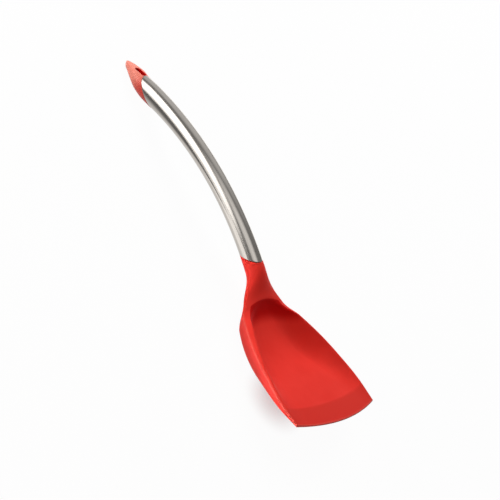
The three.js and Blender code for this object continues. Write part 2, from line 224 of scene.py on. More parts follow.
@dataclass(frozen=True)
class TurnerPlan:
    """Sizes that the pieces share.

    Runs are measured from the root of the neck: forwards along the underside for the head, backwards
    along the middle line for the handle.

    Attributes:
        sole_length: Flat underside, back from the front corners.
        mount_back: How far behind the front corners the mount on the sole lies.
        heel_radius: Bend of the underside from the sole up to the neck.
        neck_slope: Angle of the neck where it is steepest, in radians.
        neck_radius: Bend of the underside between that place and the root.
        handle_slope: Angle of the handle at the root, in radians; the tail is level.
        handle_radius: Bend of the handle's middle line.
        tube_width: Width of the tube at the root.
        tube_depth: Its depth there.
        waist_depth: Its depth half way along.
        tail_width: Its width at the tail.
        tail_depth: Its depth at the tail.
        tube_wall: Thickness of the steel.
        tail_run: Run of the middle of the slanted tail end.
        neck_cut: Slant of the neck end, in radians.
        tail_cut: Slant of the tail end, in radians.
        root_margin: How far behind the root the longer side of the steel ends.
        clearance: Gap between neighbouring pieces.
    """

    sole_length: float = 44.7
    mount_back: float = 24.0
    heel_radius: float = 68.3
    neck_slope: float = math.radians(45.0)
    neck_radius: float = 170.0
    handle_slope: float = math.radians(36.3)
    handle_radius: float = 274.0
    tube_width: float = 15.8
    tube_depth: float = 13.6
    waist_depth: float = 12.8
    tail_width: float = 16.4
    tail_depth: float = 15.6
    tube_wall: float = 1.0
    tail_run: float = 160.6
    neck_cut: float = math.radians(41.5)
    tail_cut: float = math.radians(55.0)
    root_margin: float = 3.6
    clearance: float = 0.3

    @property
    def neck_run(self) -> float:
        """Run at the steepest place of the neck."""
        return self.neck_radius * (self.neck_slope - self.handle_slope)

    @property
    def sole_run(self) -> float:
        """Run at which the flat sole begins."""
        return self.neck_run + self.heel_radius * self.neck_slope

    @property
    def front_run(self) -> float:
        """Run at the front corners."""
        return self.sole_run + self.sole_length

    def head_station(self, run: float) -> Station:
        """Finds a place on the underside of the head.

        Args:
            run: How far it is from the root of the neck.

        Returns:
            The station there.
        """
        if run >= self.sole_run:
            return Station(run - self.front_run, 0.0, 0.0)
        if run >= self.neck_run:
            lean = self.neck_slope - (run - self.neck_run) / self.heel_radius
            radius = self.heel_radius
        else:
            lean = self.handle_slope + run / self.neck_radius
            radius = -self.neck_radius
        turn = self.heel_radius - radius
        x = -self.sole_length - turn * math.sin(self.neck_slope) - radius * math.sin(lean)
        z = self.heel_radius - turn * math.cos(self.neck_slope) - radius * math.cos(lean)
        return Station(x, z, lean)

    def handle_centre(self) -> tuple[float, float]:
        """Finds the centre of the handle's bend.

        Returns:
            Its X and Z.
        """
        root = self.head_station(0.0)
        reach = self.handle_radius - self.tube_depth / 2.0
        return root.x - reach * math.sin(self.handle_slope), root.z - reach * math.cos(self.handle_slope)

    def tube_half(self, run: np.ndarray) -> tuple[np.ndarray, np.ndarray]:
        """Sizes the tube, whose depth is a parabola through those at the root, half way and at the tail.

        Args:
            run: Where on the handle.

        Returns:
            Half of its width and half of its depth.
        """
        t = np.clip(run / self.tail_run, 0.0, 1.0)
        depth = self.tube_depth * (1.0 - t) * (1.0 - 2.0 * t)
        depth = depth + 4.0 * self.waist_depth * t * (1.0 - t) + self.tail_depth * t * (2.0 * t - 1.0)
        return mix(self.tube_width, self.tail_width, t * t) / 2.0, depth / 2.0

    def neck_end(self, up: np.ndarray) -> np.ndarray:
        """Run of the slanted neck end of the steel at a height over the middle line."""
        return self.root_margin + (self.tube_depth / 2.0 - up) * math.tan(self.neck_cut)

    def tail_end(self, up: np.ndarray) -> np.ndarray:
        """Run of the slanted tail end of the steel at a height over the middle line."""
        return self.tail_run + up * math.tan(self.tail_cut)


@dataclass(frozen=True)
class NodeTree:
    """Shorthand for building a node tree.

    Attributes:
        tree: The tree that the nodes go into.
    """

    tree: bpy.types.NodeTree

    def add(self, kind: str, inputs: dict | None = None, **settings: str) -> bpy.types.Node:
        """Adds a node.

        Args:
            kind: Blender's name of the node type.
            inputs: Values or sockets for the node's inputs, by socket name or number.
            settings: Values for the node's own properties.

        Returns:
            The new node.
        """
        node = self.tree.nodes.new(kind)
        for name, value in settings.items():
            setattr(node, name, value)
        for key, value in (inputs or {}).items():
            if isinstance(value, bpy.types.NodeSocket):
                self.tree.links.new(value, node.inputs[key])
            else:
                node.inputs[key].default_value = value
        return node

    def math(self, operation: str, *values: float | bpy.types.NodeSocket) -> bpy.types.NodeSocket:
        """Adds an arithmetic step on some values and gives its result."""
        node = self.add("ShaderNodeMath", dict(enumerate(values)), operation=operation)
        return node.outputs[0]

    def noise(self, vector: bpy.types.NodeSocket, scale: float, detail: float) -> bpy.types.NodeSocket:
        """Adds a noise pattern and gives its grey value."""
        inputs = {"Vector": vector, "Scale": scale, "Detail": detail}
        return self.add("ShaderNodeTexNoise", inputs).outputs[0]

    def spread(self, value: bpy.types.NodeSocket, low: float, high: float) -> bpy.types.NodeSocket:
        """Spreads the middle of a noise pattern over a range.

        Args:
            value: The pattern.
            low: Lower end of the range.
            high: Upper end of the range.

        Returns:
            The socket of the spread value.
        """
        start, end = NOISE_MIDDLE
        inputs = {"Value": value, "From Min": start, "From Max": end, "To Min": low, "To Max": high}
        return self.add("ShaderNodeMapRange", inputs).outputs[0]

    def between(
        self,
        share: bpy.types.NodeSocket,
        first: float | bpy.types.NodeSocket,
        second: float | bpy.types.NodeSocket,
    ) -> bpy.types.NodeSocket:
        """Gives a value a share of the way from the first to the second."""
        node = self.add("ShaderNodeMix", {0: share, 2: first, 3: second}, data_type="FLOAT")
        return node.outputs[0]

    def ramp(self, value: bpy.types.NodeSocket, start: float, end: float) -> bpy.types.NodeSocket:
        """Rises smoothly from 0 where a value is at the start to 1 where it is at the end."""
        inputs = {"Value": value, "From Min": start, "From Max": end}
        return self.add("ShaderNodeMapRange", inputs, interpolation_type="SMOOTHSTEP").outputs[0]

    def blend(
        self,
        share: float | bpy.types.NodeSocket,
        first: tuple[float, ...] | bpy.types.NodeSocket,
        second: tuple[float, ...] | bpy.types.NodeSocket,
    ) -> bpy.types.NodeSocket:
        """Blends two colours.

        Args:
            share: Part of the second colour.
            first: Colour at share 0.
            second: Colour at share 1.

        Returns:
            The socket of the blended colour.
        """
        node = self.add("ShaderNodeMix", {0: share, 6: first, 7: second}, data_type="RGBA")
        return node.outputs[2]

    def bump(self, height: bpy.types.NodeSocket, strength: float, depth: float) -> bpy.types.NodeSocket:
        """Adds a fine relief of a depth in metres and gives its normals."""
        inputs = {"Strength": strength, "Distance": depth, "Height": height}
        return self.add("ShaderNodeBump", inputs).outputs[0]

    def attribute(self, name: str) -> bpy.types.NodeSocket:
        """Reads a point attribute of the piece."""
        return self.add("ShaderNodeAttribute", attribute_name=name).outputs["Fac"]

    def dress(
        self,
        shader: bpy.types.Node,
        colour: bpy.types.NodeSocket,
        roughness: bpy.types.NodeSocket,
        normal: bpy.types.NodeSocket,
    ) -> None:
        """Links what varies over a surface to its shader.

        Args:
            shader: The principled shader.
            colour: Colour of the surface.
            roughness: Its roughness.
            normal: Its normals.
        """
        for name, socket in (("Base Color", colour), ("Roughness", roughness), ("Normal", normal)):
            self.tree.links.new(socket, shader.inputs[name])


def new_material(name: str) -> tuple[bpy.types.Material, NodeTree, bpy.types.Node]:
    """Makes an empty material with a principled shader.

    Args:
        name: Name of the material.

    Returns:
        The material, its node tree and the shader.
    """
    material = bpy.data.materials.new(name)
    material.use_nodes = True
    material.node_tree.nodes.clear()
    nodes = NodeTree(material.node_tree)
    shader = nodes.add("ShaderNodeBsdfPrincipled")
    nodes.add("ShaderNodeOutputMaterial", {"Surface": shader.outputs[0]})
    return material, nodes, shader


@dataclass(frozen=True)
class SiliconeFinish:
    """Moulded red silicone: soft satin, faintly clouded, with a little dust, painted highlights on its edges
    and on the tip of the cap, and painted shade in the scoop and the slot.

    Attributes:
        name: Name of the material.
        deep: Darker tone of the clouding.
        light: Paler tone of the clouding.
        edge: Pale tone of the painted highlight along the outer rims and the front edge.
        lip: Darker tone of the lip, near the front edge.
        back: Painted shade on the back wall of the scoop and on the walls of the hang slot.
        dust: Tone of the specks of dust.
        tip: Painted highlight on the tip half of the tail cap.
        tip_highlight_fade: X at which that painted highlight is full and at which it is gone, in metres.
        shine: Strength of the reflection on the surface.
        roughness: Lowest and highest roughness of the surface.
        grain: Strength of the fine relief.
        highlight_share: Part of the painted highlight's tone at the very edge.
        cloud_scale: Clouds in a metre.
        dust_cells: Specks of dust in a metre.
        dust_size: Size of a speck, as part of its cell.
        dust_patches: Dusty patches in a metre.
        dust_from: Value of the patches above which there is dust.
        dust_share: How much a speck covers.
        grain_scale: Grains in a metre.
        wave_scale: Moulding waves in a metre.
        wave_share: Height of the waves against the grains.
        relief_depth: Depth of the fine relief, in metres.
        refraction: Index of refraction.
        sheen: Strength of the soft bloom on the surface.
        sheen_roughness: How widely that bloom spreads.
    """

    name: str = "red_silicone"
    deep: tuple[float, ...] = (0.90, 0.040, 0.028, 1.0)
    light: tuple[float, ...] = (0.95, 0.050, 0.036, 1.0)
    # pale tone of the painted highlight along the outer rims and the front edge
    edge: tuple[float, ...] = (0.96, 0.13, 0.10, 1.0)
    lip: tuple[float, ...] = (0.80, 0.040, 0.028, 1.0)
    # painted shade on the back wall of the scoop and on the walls of the hang slot
    back: tuple[float, ...] = (0.62, 0.006, 0.005, 1.0)
    dust: tuple[float, ...] = (0.80, 0.30, 0.26, 1.0)
    # painted highlight on the tip half of the tail cap
    tip: tuple[float, ...] = (0.98, 0.29, 0.21, 1.0)
    tip_highlight_fade: tuple[float, float] = (-0.141, -0.127)
    shine: float = 0.15
    roughness: tuple[float, float] = (0.44, 0.54)
    grain: float = 0.10
    highlight_share: float = 0.85
    cloud_scale: float = 55.0
    dust_cells: float = 190.0
    dust_size: float = 0.035
    dust_patches: float = 40.0
    dust_from: float = 0.56
    dust_share: float = 0.35
    grain_scale: float = 2600.0
    wave_scale: float = 130.0
    wave_share: float = 0.5
    relief_depth: float = 0.00005
    refraction: float = 1.42
    sheen: float = 0.12
    sheen_roughness: float = 0.3

    def material(self) -> bpy.types.Material:
        """Builds the node tree of the finish.

        Returns:
            The material.
        """
        material, nodes, shader = new_material(self.name)
        where = nodes.add("ShaderNodeTexCoord").outputs["Object"]
        clouds = nodes.spread(nodes.noise(where, self.cloud_scale, detail=3.0), 0.0, 1.0)
        body = nodes.blend(clouds, self.deep, self.light)
        # painted highlight on the tip half of the tail cap
        ahead = nodes.add("ShaderNodeSeparateXYZ", {0: where}).outputs["X"]
        body = nodes.blend(nodes.ramp(ahead, *self.tip_highlight_fade), self.tip, body)
        # darker tone of the lip, and painted shade on the back wall of the scoop and the walls of the slot
        for name, tone in (("lip", self.lip), ("back", self.back)):
            body = nodes.blend(nodes.attribute(name), body, tone)
        # painted highlight along the outer rims and the front edge
        highlighted = nodes.blend(nodes.math("MULTIPLY", nodes.attribute("edge_highlight"), self.highlight_share), body, self.edge)
        cells = nodes.add("ShaderNodeTexVoronoi", {"Vector": where, "Scale": self.dust_cells})
        speck = nodes.math("LESS_THAN", cells.outputs["Distance"], self.dust_size)
        patchy = nodes.math("GREATER_THAN", nodes.noise(where, self.dust_patches, detail=1.0), self.dust_from)
        dusty = nodes.math("MULTIPLY", nodes.math("MULTIPLY", speck, patchy), self.dust_share)
        grain = nodes.noise(where, self.grain_scale, detail=2.0)
        waves = nodes.math("MULTIPLY", nodes.noise(where, self.wave_scale, detail=1.0), self.wave_share)
        nodes.dress(
            shader,
            colour=nodes.blend(dusty, highlighted, self.dust),
            roughness=nodes.spread(grain, *self.roughness),
            normal=nodes.bump(nodes.math("ADD", grain, waves), self.grain, self.relief_depth),
        )
        shader.inputs["IOR"].default_value = self.refraction
        shader.inputs["Specular IOR Level"].default_value = self.shine
        shader.inputs["Sheen Weight"].default_value = self.sheen
        shader.inputs["Sheen Roughness"].default_value = self.sheen_roughness
        return material


@dataclass(frozen=True)
class BrushedSteelFinish:
    """Satin stainless steel, brushed along the tube, with faint smudges.

    Attributes:
        name: Name of the material.
        dark: Tone at the bottom of the brush lines.
        bright: Tone of the open metal.
        lines_along: Brush lines in a metre along the tube.
        lines_round: Brush lines in a metre round the tube.
        roughness: Lowest and highest roughness of the brush lines.
        smudge_scale: Smudges in a metre.
        smudge_roughness: What a smudge adds to the roughness.
        relief: Strength of the brush lines' relief.
        relief_depth: Depth of that relief, in metres.
    """

    name: str = "satin_steel"
    dark: tuple[float, ...] = (0.52, 0.48, 0.44, 1.0)
    bright: tuple[float, ...] = (0.70, 0.66, 0.61, 1.0)
    lines_along: float = 30.0
    lines_round: float = 3200.0
    roughness: tuple[float, float] = (0.14, 0.20)
    smudge_scale: float = 45.0
    smudge_roughness: float = 0.04
    relief: float = 0.05
    relief_depth: float = 0.00002

    def material(self) -> bpy.types.Material:
        """Builds the node tree of the finish.

        Returns:
            The material.
        """
        material, nodes, shader = new_material(self.name)
        where = nodes.add("ShaderNodeTexCoord").outputs["Object"]
        sweep = nodes.add("ShaderNodeUVMap", uv_map="sweep").outputs["UV"]
        scale = (self.lines_along, self.lines_round, 1.0)
        lines = nodes.add("ShaderNodeMapping", {"Vector": sweep, "Scale": scale}).outputs[0]
        streaks = nodes.noise(lines, scale=1.0, detail=4.0)
        patches = nodes.noise(where, self.smudge_scale, detail=3.0)
        smudges = nodes.spread(patches, 0.0, self.smudge_roughness)
        nodes.dress(
            shader,
            colour=nodes.blend(nodes.spread(streaks, 0.0, 1.0), self.dark, self.bright),
            roughness=nodes.math("ADD", nodes.spread(streaks, *self.roughness), smudges),
            normal=nodes.bump(streaks, self.relief, self.relief_depth),
        )
        shader.inputs["Metallic"].default_value = 1.0
        return material


@dataclass(frozen=True)
class NylonFinish:
    """Grey glass-filled nylon of the hidden cores.

    Attributes:
        name: Name of the material.
        dark: Tone between the fibres.
        light: Tone of the fibres.
        fibre_scale: Fibres in a metre along each axis.
        roughness: Lowest and highest roughness.
        relief: Strength of the fibres' relief.
        relief_depth: Depth of that relief, in metres.
    """

    name: str = "grey_nylon"
    dark: tuple[float, ...] = (0.22, 0.23, 0.23, 1.0)
    light: tuple[float, ...] = (0.31, 0.32, 0.32, 1.0)
    fibre_scale: tuple[float, float, float] = (200.0, 900.0, 900.0)
    roughness: tuple[float, float] = (0.50, 0.66)
    relief: float = 0.2
    relief_depth: float = 0.0001

    def material(self) -> bpy.types.Material:
        """Builds the node tree of the finish.

        Returns:
            The material.
        """
        material, nodes, shader = new_material(self.name)
        where = nodes.add("ShaderNodeTexCoord").outputs["Object"]
        drawn = nodes.add("ShaderNodeMapping", {"Vector": where, "Scale": self.fibre_scale}).outputs[0]
        fibres = nodes.noise(drawn, scale=1.0, detail=3.0)
        nodes.dress(
            shader,
            colour=nodes.blend(nodes.spread(fibres, 0.0, 1.0), self.dark, self.light),
            roughness=nodes.spread(fibres, *self.roughness),
            normal=nodes.bump(fibres, self.relief, self.relief_depth),
        )
        return material


def skin_faces(rings: int, points: int, joined: bool) -> np.ndarray:
    """Faces between rings of points.

    Args:
        rings: Number of rings.
        points: Number of points in a ring.
        joined: Whether the last ring meets the first.

    Returns:
        Corner numbers, four to a row.
    """
    ring, point = np.meshgrid(np.arange(rings if joined else rings - 1), np.arange(points), indexing="ij")
    after, beside = (ring + 1) % rings, (point + 1) % points
    corners = [ring * points + point, ring * points + beside, after * points + beside, after * points + point]
    return np.stack(corners, axis=-1).reshape(-1, 4)


def skin_mesh(name: str, rings: list[np.ndarray], joined: bool = False) -> bpy.types.Mesh:
    """Makes a closed mesh over rings of points, with fans at open ends.

    Args:
        name: Name of the mesh.
        rings: Rings of points, equally many in each.
        joined: Whether the last ring meets the first.

    Returns:
        The mesh, with its faces pointing outwards.
    """
    count = len(rings[0])
    faces = skin_faces(len(rings), count, joined).tolist()
    points = np.concatenate(rings)
    if not joined:
        for start in (0, (len(rings) - 1) * count):
            centre = len(points)
            points = np.vstack([points, points[start : start + count].mean(axis=0)])
            faces += [[start + i, start + (i + 1) % count, centre] for i in range(count)]
    mesh = bpy.data.meshes.new(name)
    mesh.from_pydata(points.tolist(), [], faces)
    shape = bmesh.new()
    shape.from_mesh(mesh)
    bmesh.ops.recalc_face_normals(shape, faces=shape.faces)
    shape.to_mesh(mesh)
    shape.free()
    mesh.shade_smooth()
    return mesh


def new_object(name: str, mesh: bpy.types.Mesh) -> bpy.types.Object:
    """Puts a mesh into the scene as an object.

    Args:
        name: Name of the object.
        mesh: Its mesh.

    Returns:
        The object.
    """
    piece = bpy.data.objects.new(name, mesh)
    bpy.context.scene.collection.objects.link(piece)
    return piece


def soften_loop(points: np.ndarray, spread: float, fine: int = 8192) -> np.ndarray:
    """Rounds the corners of a closed outline.

    Args:
        points: Outline, one point to a row.
        spread: How far the rounding reaches, in the outline's units.
        fine: Number of even steps that the rounding works in.

    Returns:
        The rounded outline, with as many points.
    """
    loop = np.vstack([points, points[:1]])
    along = np.concatenate([[0.0], np.cumsum(np.linalg.norm(np.diff(loop, axis=0), axis=1))])
    even = np.linspace(0.0, along[-1], fine, endpoint=False)
    waves = 2.0 * math.pi * np.fft.rfftfreq(fine, along[-1] / fine)
    damping = np.exp(-0.5 * (waves * spread) ** 2)
    result = np.empty_like(points)
    for axis in range(points.shape[1]):
        values = np.interp(even, along, loop[:, axis])
        smooth = np.fft.irfft(np.fft.rfft(values) * damping, fine)
        result[:, axis] = np.interp(along[:-1], np.append(even, along[-1]), np.append(smooth, smooth[0]))
    return result


@dataclass(frozen=True)
class Section:
    """Sizes of the head's section at a run.

    Attributes:
        run: Where the section is.
        half: Half of its width.
        top: Height of its top over the underside.
        rim: Height of its outer edge.
        channel: How far it has turned from the round of the neck into the trough of the scoop.
        boxed: The same for its underside.
        thickness: Thickness of the floor.
        rim_width: Width of the sloping rim, seen from above.
        lift: How far the rim rises from its outer edge to the edge of the scoop.
        bow: How far the middle lies ahead of the sides.
    """

    run: float
    half: float
    top: float
    rim: float
    channel: float
    boxed: float
    thickness: float
    rim_width: float
    lift: float
    bow: float


@dataclass(frozen=True)
class ScoopHead:
    """The silicone head: a scoop with flared walls, a sloping rim and a thin lip, and its neck.

    Attributes:
        plan: Sizes shared with the other pieces.
        blade_width: Across the two front corners.
        shoulder_width: Across the widest place.
        shoulder_back: How far behind the corners that is.
        sole_width: Over the rims where the flat sole ends.
        heel_width: Over the rims where the walls are full.
        arch_width: Across the neck where the scoop begins.
        front_bulge: How far the front edge bows out in the middle.
        rim_slope: Rise of the rims from the corners, as a tangent.
        rim_width: Width of the sloping rims beside the neck, seen from above.
        corner_rim: The same at the front corners.
        rim_share: Part of half a section that a rim takes up at most.
        rim_tilt: Rise of the rims towards the edge of the scoop, as a tangent.
        wall_lean: Flare of the walls, as a tangent.
        bilge: Length of the bend between sole and wall.
        bilge_share: Part of the wall that this bend takes up at most.
        inner_bend: The same on the inside.
        floor_thickness: Thickness of the floor.
        lip_thickness: Thickness at the front edge.
        lip_root: Thickness where the lip meets the floor.
        lip_length: Length of the lip.
        lip_tone_back: How far behind the corners the darker tone of the lip begins.
        lip_tone_fade: Length over which it begins.
        back_shade_fade: Length over which the painted shade of the back wall begins.
        back_shade_share: How late that painted shade fades on its way down the back wall.
        edge_softness: Rounding of the edge round the scoop.
        softness_share: Part of a section's height that this rounding takes up at most.
        wall_curve: How sharply the inner walls bend up from the floor.
        wall_reach: Part of half the scoop that this bend takes up at most.
        neck_length: From the root of the neck to the edge of the scoop.
        flare_share: Part of its depth at which the neck is widest.
        arch_depth: Thickness of the neck at the edge of the scoop.
        arch_bow: How far that edge comes forward at the sides.
        ramp_length: Length of the back wall.
        ramp_power: How sharply it falls from its edge.
        wall_build: From the edge of the scoop to where the walls are full.
        neck_blend: Rounding where the top of the neck runs into the rims.
        edge_round: Rounding of the other edges.
        round_share: Part of a section's height that this rounding takes up at most.
        highlight_reach: How far the painted highlight reaches in from the outer rim and the front edge.
        flat_steps: Steps across half of the floor.
        bend_steps: Steps round a bend.
        wall_steps: Steps up a wall.
        rim_steps: Steps across a rim.
        nose_steps: Rings round the front edge.
        sleeve_ends: Shares of the sleeve between which its plain rings lie.
        sleeve_rings: Number of those rings.
        edge_before: The rings lie closer from this far behind the edge of the scoop.
        edge_after: The same ahead of it.
        ring_counts: Rings along the neck, the edge of the scoop, the heel, the sole and the lip.
    """

    plan: TurnerPlan
    blade_width: float = 88.0
    shoulder_width: float = 89.6
    shoulder_back: float = 15.6
    sole_width: float = 81.6
    heel_width: float = 61.0
    arch_width: float = 37.0
    front_bulge: float = 7.0
    rim_slope: float = math.tan(math.radians(14.6))
    rim_width: float = 5.3
    corner_rim: float = 0.8
    rim_share: float = 0.5
    rim_tilt: float = math.tan(math.radians(34.0))
    wall_lean: float = math.tan(math.radians(18.0))
    bilge: float = 6.0
    bilge_share: float = 1.0 / 3.0
    inner_bend: float = 13.0
    floor_thickness: float = 4.0
    lip_thickness: float = 1.2
    lip_root: float = 3.6
    lip_length: float = 14.0
    # where the darker tone of the lip begins
    lip_tone_back: float = 15.4
    lip_tone_fade: float = 3.0
    # painted shade on the back wall of the scoop
    back_shade_fade: float = 0.9
    back_shade_share: float = 2.0
    edge_softness: float = 1.2
    softness_share: float = 0.25
    wall_curve: float = 2.2
    wall_reach: float = 0.9
    neck_length: float = 20.2
    flare_share: float = 0.5
    arch_depth: float = 8.5
    arch_bow: float = 4.0
    ramp_length: float = 19.0
    ramp_power: float = 2.4
    wall_build: float = 19.5
    neck_blend: float = 3.0
    edge_round: float = 0.4
    round_share: float = 1.0 / 6.0
    # reach of the painted highlight along the outer rim and the front edge
    highlight_reach: float = 0.9
    flat_steps: int = 26
    bend_steps: int = 12
    wall_steps: int = 20
    rim_steps: int = 10
    nose_steps: int = 6
    sleeve_ends: tuple[float, float] = (0.97, 0.03)
    sleeve_rings: int = 18
    edge_before: float = 3.0
    edge_after: float = 8.0
    ring_counts: tuple[int, ...] = (22, 40, 60, 40, 26)

    @property
    def wall_run(self) -> float:
        """Run at which the walls are full."""
        return self.neck_length + self.wall_build

    def half_width(self) -> SmoothCurve:
        """Draws the half width over the rims along the runs.

        Returns:
            The curve of half widths.
        """
        front = self.plan.front_run
        return SmoothCurve((
            (0.0, self.plan.tube_width / 2.0),
            (self.neck_length, self.arch_width / 2.0),
            (self.wall_run, self.heel_width / 2.0),
            (self.plan.sole_run, self.sole_width / 2.0),
            (front - self.shoulder_back, self.shoulder_width / 2.0),
            (front, self.blade_width / 2.0),
        ))

    def section(self, run: float) -> Section:
        """Works out the sizes of a section.

        Args:
            run: Where the section is.

        Returns:
            Its sizes.
        """
        station = self.plan.head_station(run)
        half = self.half_width().at(run)
        neck_top = mix(self.plan.tube_depth, self.arch_depth, ease(run / self.neck_length))
        if run >= self.neck_length:
            neck_top = self.arch_depth * (1.0 - ease((run - self.neck_length) / (2.0 * self.wall_build)))
        drop = math.cos(station.lean) + self.rim_slope * math.sin(station.lean)
        top = (self.lip_thickness - self.rim_slope * station.x - station.z) / drop
        if run < self.wall_run:
            top = float(soft_more(neck_top, top, self.neck_blend))
        half_neck = self.neck_length / 2.0
        channel = float(ease((run - half_neck) / (self.wall_run - half_neck)))
        ahead = self.plan.front_run - run
        thickness = mix(self.lip_thickness, self.lip_root, ahead / self.lip_length)
        if ahead >= self.lip_length:
            share = ease((ahead - self.lip_length) / self.lip_length)
            thickness = mix(self.lip_root, self.floor_thickness, share)
        widening = ahead / (self.plan.front_run - self.neck_length)
        rim_width = min(half * self.rim_share, mix(self.corner_rim, self.rim_width, widening))
        boxed = float(ease((run - self.neck_length) / self.wall_build))
        return Section(
            run=run,
            half=half,
            top=top,
            rim=top * mix(self.flare_share, 1.0, channel),
            channel=channel,
            boxed=boxed,
            thickness=float(thickness),
            rim_width=rim_width,
            lift=boxed * self.rim_tilt * rim_width,
            bow=self.front_bulge * float(ease(1.0 - ahead / self.plan.sole_length)),
        )

    def arch_edge(self, side: np.ndarray) -> np.ndarray:
        """Run at which the scoop begins."""
        return self.neck_length + self.arch_bow * (side / (self.arch_width / 2.0)) ** 2

    def floor_at(self, section: Section, side: np.ndarray) -> np.ndarray:
        """Height of the scoop's floor and back wall over the underside."""
        back = np.maximum(0.0, 1.0 - (section.run - self.arch_edge(side)) / self.ramp_length)
        return section.thickness + (self.arch_depth - self.floor_thickness) * back**self.ramp_power

    def flat_half(self, section: Section, floor: np.ndarray) -> np.ndarray:
        """Measures the level part of the floor, between the bends of the inner walls.

        Args:
            section: The section.
            floor: Heights of the floor.

        Returns:
            Half of the width of the level part, for each height.
        """
        inner = section.half - section.rim_width
        depth = np.maximum(0.0, section.top + section.lift - floor)
        return inner - np.minimum(self.wall_reach * inner, depth * self.wall_lean + self.inner_bend)

    def upper_at(self, section: Section, side: np.ndarray) -> np.ndarray:
        """Draws the upper surface: neck or rims, with the scoop sunk into it.

        Args:
            section: The section.
            side: Places across it.

        Returns:
            The height of the surface at each place.
        """
        level = np.sqrt(np.maximum(0.0, 1.0 - (side / section.half) ** 2))
        roof = section.rim + (section.top - section.rim) * level
        roof = roof + section.lift * np.minimum(1.0, (section.half - np.abs(side)) / section.rim_width)
        floor = self.floor_at(section, side)
        flat = self.flat_half(section, floor)
        climb = np.clip((np.abs(side) - flat) / (section.half - section.rim_width - flat), 0.0, 1.0)
        bowl = floor + np.maximum(0.0, section.top + section.lift - floor) * climb**self.wall_curve
        softness = min(self.edge_softness, section.top * self.softness_share)
        return soft_less(roof, bowl, softness)

    def lower_half(self, section: Section) -> np.ndarray:
        """Draws half of the lower outline.

        Args:
            section: The section.

        Returns:
            Points from the keel to the outer edge of the rim, as side and height.
        """
        foot = section.half - section.rim * self.wall_lean
        wall = math.hypot(section.half - foot, section.rim)
        bend = min(self.bilge, wall * self.bilge_share)
        t = np.linspace(0.0, 1.0, self.bend_steps + 1)[1:]
        far = np.array([mix(foot, section.half, bend / wall), section.rim * bend / wall])
        level = np.linspace(0.0, foot - bend, self.flat_steps + 1)
        flat = np.stack([level, np.zeros_like(level)], axis=1)
        round_side = (1.0 - t) ** 2 * (foot - bend) + 2.0 * t * (1.0 - t) * foot + t * t * far[0]
        corner = np.stack([round_side, t * t * far[1]], axis=1)
        shares = np.linspace(0.0, 1.0, self.wall_steps + 1)[1:, None]
        rise = mix(far[None, :], np.array([[section.half, section.rim]]), shares)
        box = np.vstack([flat, corner, rise])
        angle = np.linspace(0.0, math.pi / 2.0, len(box))
        oval = np.stack([section.half * np.sin(angle), section.rim * (1.0 - np.cos(angle))], axis=1)
        return mix(oval, box, section.boxed)

    def upper_half(self, section: Section) -> np.ndarray:
        """Draws half of the upper outline.

        Args:
            section: The section.

        Returns:
            Points from the middle to just inside the outer edge of the rim, as side and height.
        """
        inner = section.half - section.rim_width
        flat = float(self.flat_half(section, self.floor_at(section, np.zeros(1)))[0])
        climb_steps = self.bend_steps + self.wall_steps - self.rim_steps
        sides = np.concatenate([
            np.linspace(0.0, flat, self.flat_steps + 1),
            np.linspace(flat, inner, climb_steps + 1)[1:],
            np.linspace(inner, section.half, self.rim_steps + 2)[1:-1],
        ])
        angles = np.linspace(0.0, math.pi / 2.0, len(sides) + 1)[:-1]
        sides = mix(section.half * np.sin(angles), sides, section.channel)
        return np.stack([sides, self.upper_at(section, sides)], axis=1)

    def outline(self, section: Section) -> np.ndarray:
        """Draws the closed outline of a section with soft corners.

        Args:
            section: The section.

        Returns:
            Its points, as side and height.
        """
        lower, upper = self.lower_half(section), self.upper_half(section)
        flip = np.array([-1.0, 1.0])
        loop = np.vstack([lower[:0:-1] * flip, lower, upper[::-1], upper[1:] * flip])
        return soften_loop(loop, min(self.edge_round, section.top * self.round_share))

    def tones(self, section: Section, outline: np.ndarray) -> np.ndarray:
        """Tells how the silicone looks at each point of an outline.

        Args:
            section: The section.
            outline: Its points, as side and height.

        Returns:
            A row for each point, from 0 to 1: how much painted highlight it gets near the outer rim and the
                front edge,
            how much of the darker tone of the lip, and how much painted shade it gets on the back wall of the
            scoop.
        """
        side = outline[:, 0]
        # painted highlight along the outer rim and the front edge
        gap = np.hypot(np.abs(side) - section.half, outline[:, 1] - section.rim)
        rim = section.boxed * np.exp(-((gap / self.highlight_reach) ** 2))
        ahead = self.plan.front_run - section.run
        edge_highlight = np.maximum(rim, math.exp(-((ahead / self.highlight_reach) ** 2)))
        # darker tone of the lip
        lip = np.full(len(side), ease((self.lip_tone_back - ahead) / self.lip_tone_fade))
        # painted shade on the back wall of the scoop: full just past the edge of the scoop, fading on the way
        # down
        behind = section.run - self.arch_edge(side)
        above = outline[:, 1] > section.thickness / 2.0
        inside = above & (np.abs(side) < section.half - section.rim_width)
        fade = ease(self.back_shade_share * (1.0 - behind / self.ramp_length))
        back = inside * ease(behind / self.back_shade_fade) * fade
        return np.stack([edge_highlight, lip, back], axis=1)

    def head_ring(self, run: float, squeeze: float = 1.0) -> tuple[np.ndarray, np.ndarray]:
        """Ring of the head at a run.

        Args:
            run: Where the ring lies.
            squeeze: Part of its thickness that is left, where the front edge rounds off.

        Returns:
            The points of the ring, and the tones at each.
        """
        section = self.section(run)
        outline = self.outline(section)
        middle = section.thickness / 2.0
        up = middle + (outline[:, 1] - middle) * squeeze
        forward = section.bow * (1.0 - (outline[:, 0] / section.half) ** 2)
        points = self.plan.head_station(run).place(outline[:, 0], up, forward)
        return points, self.tones(section, outline)

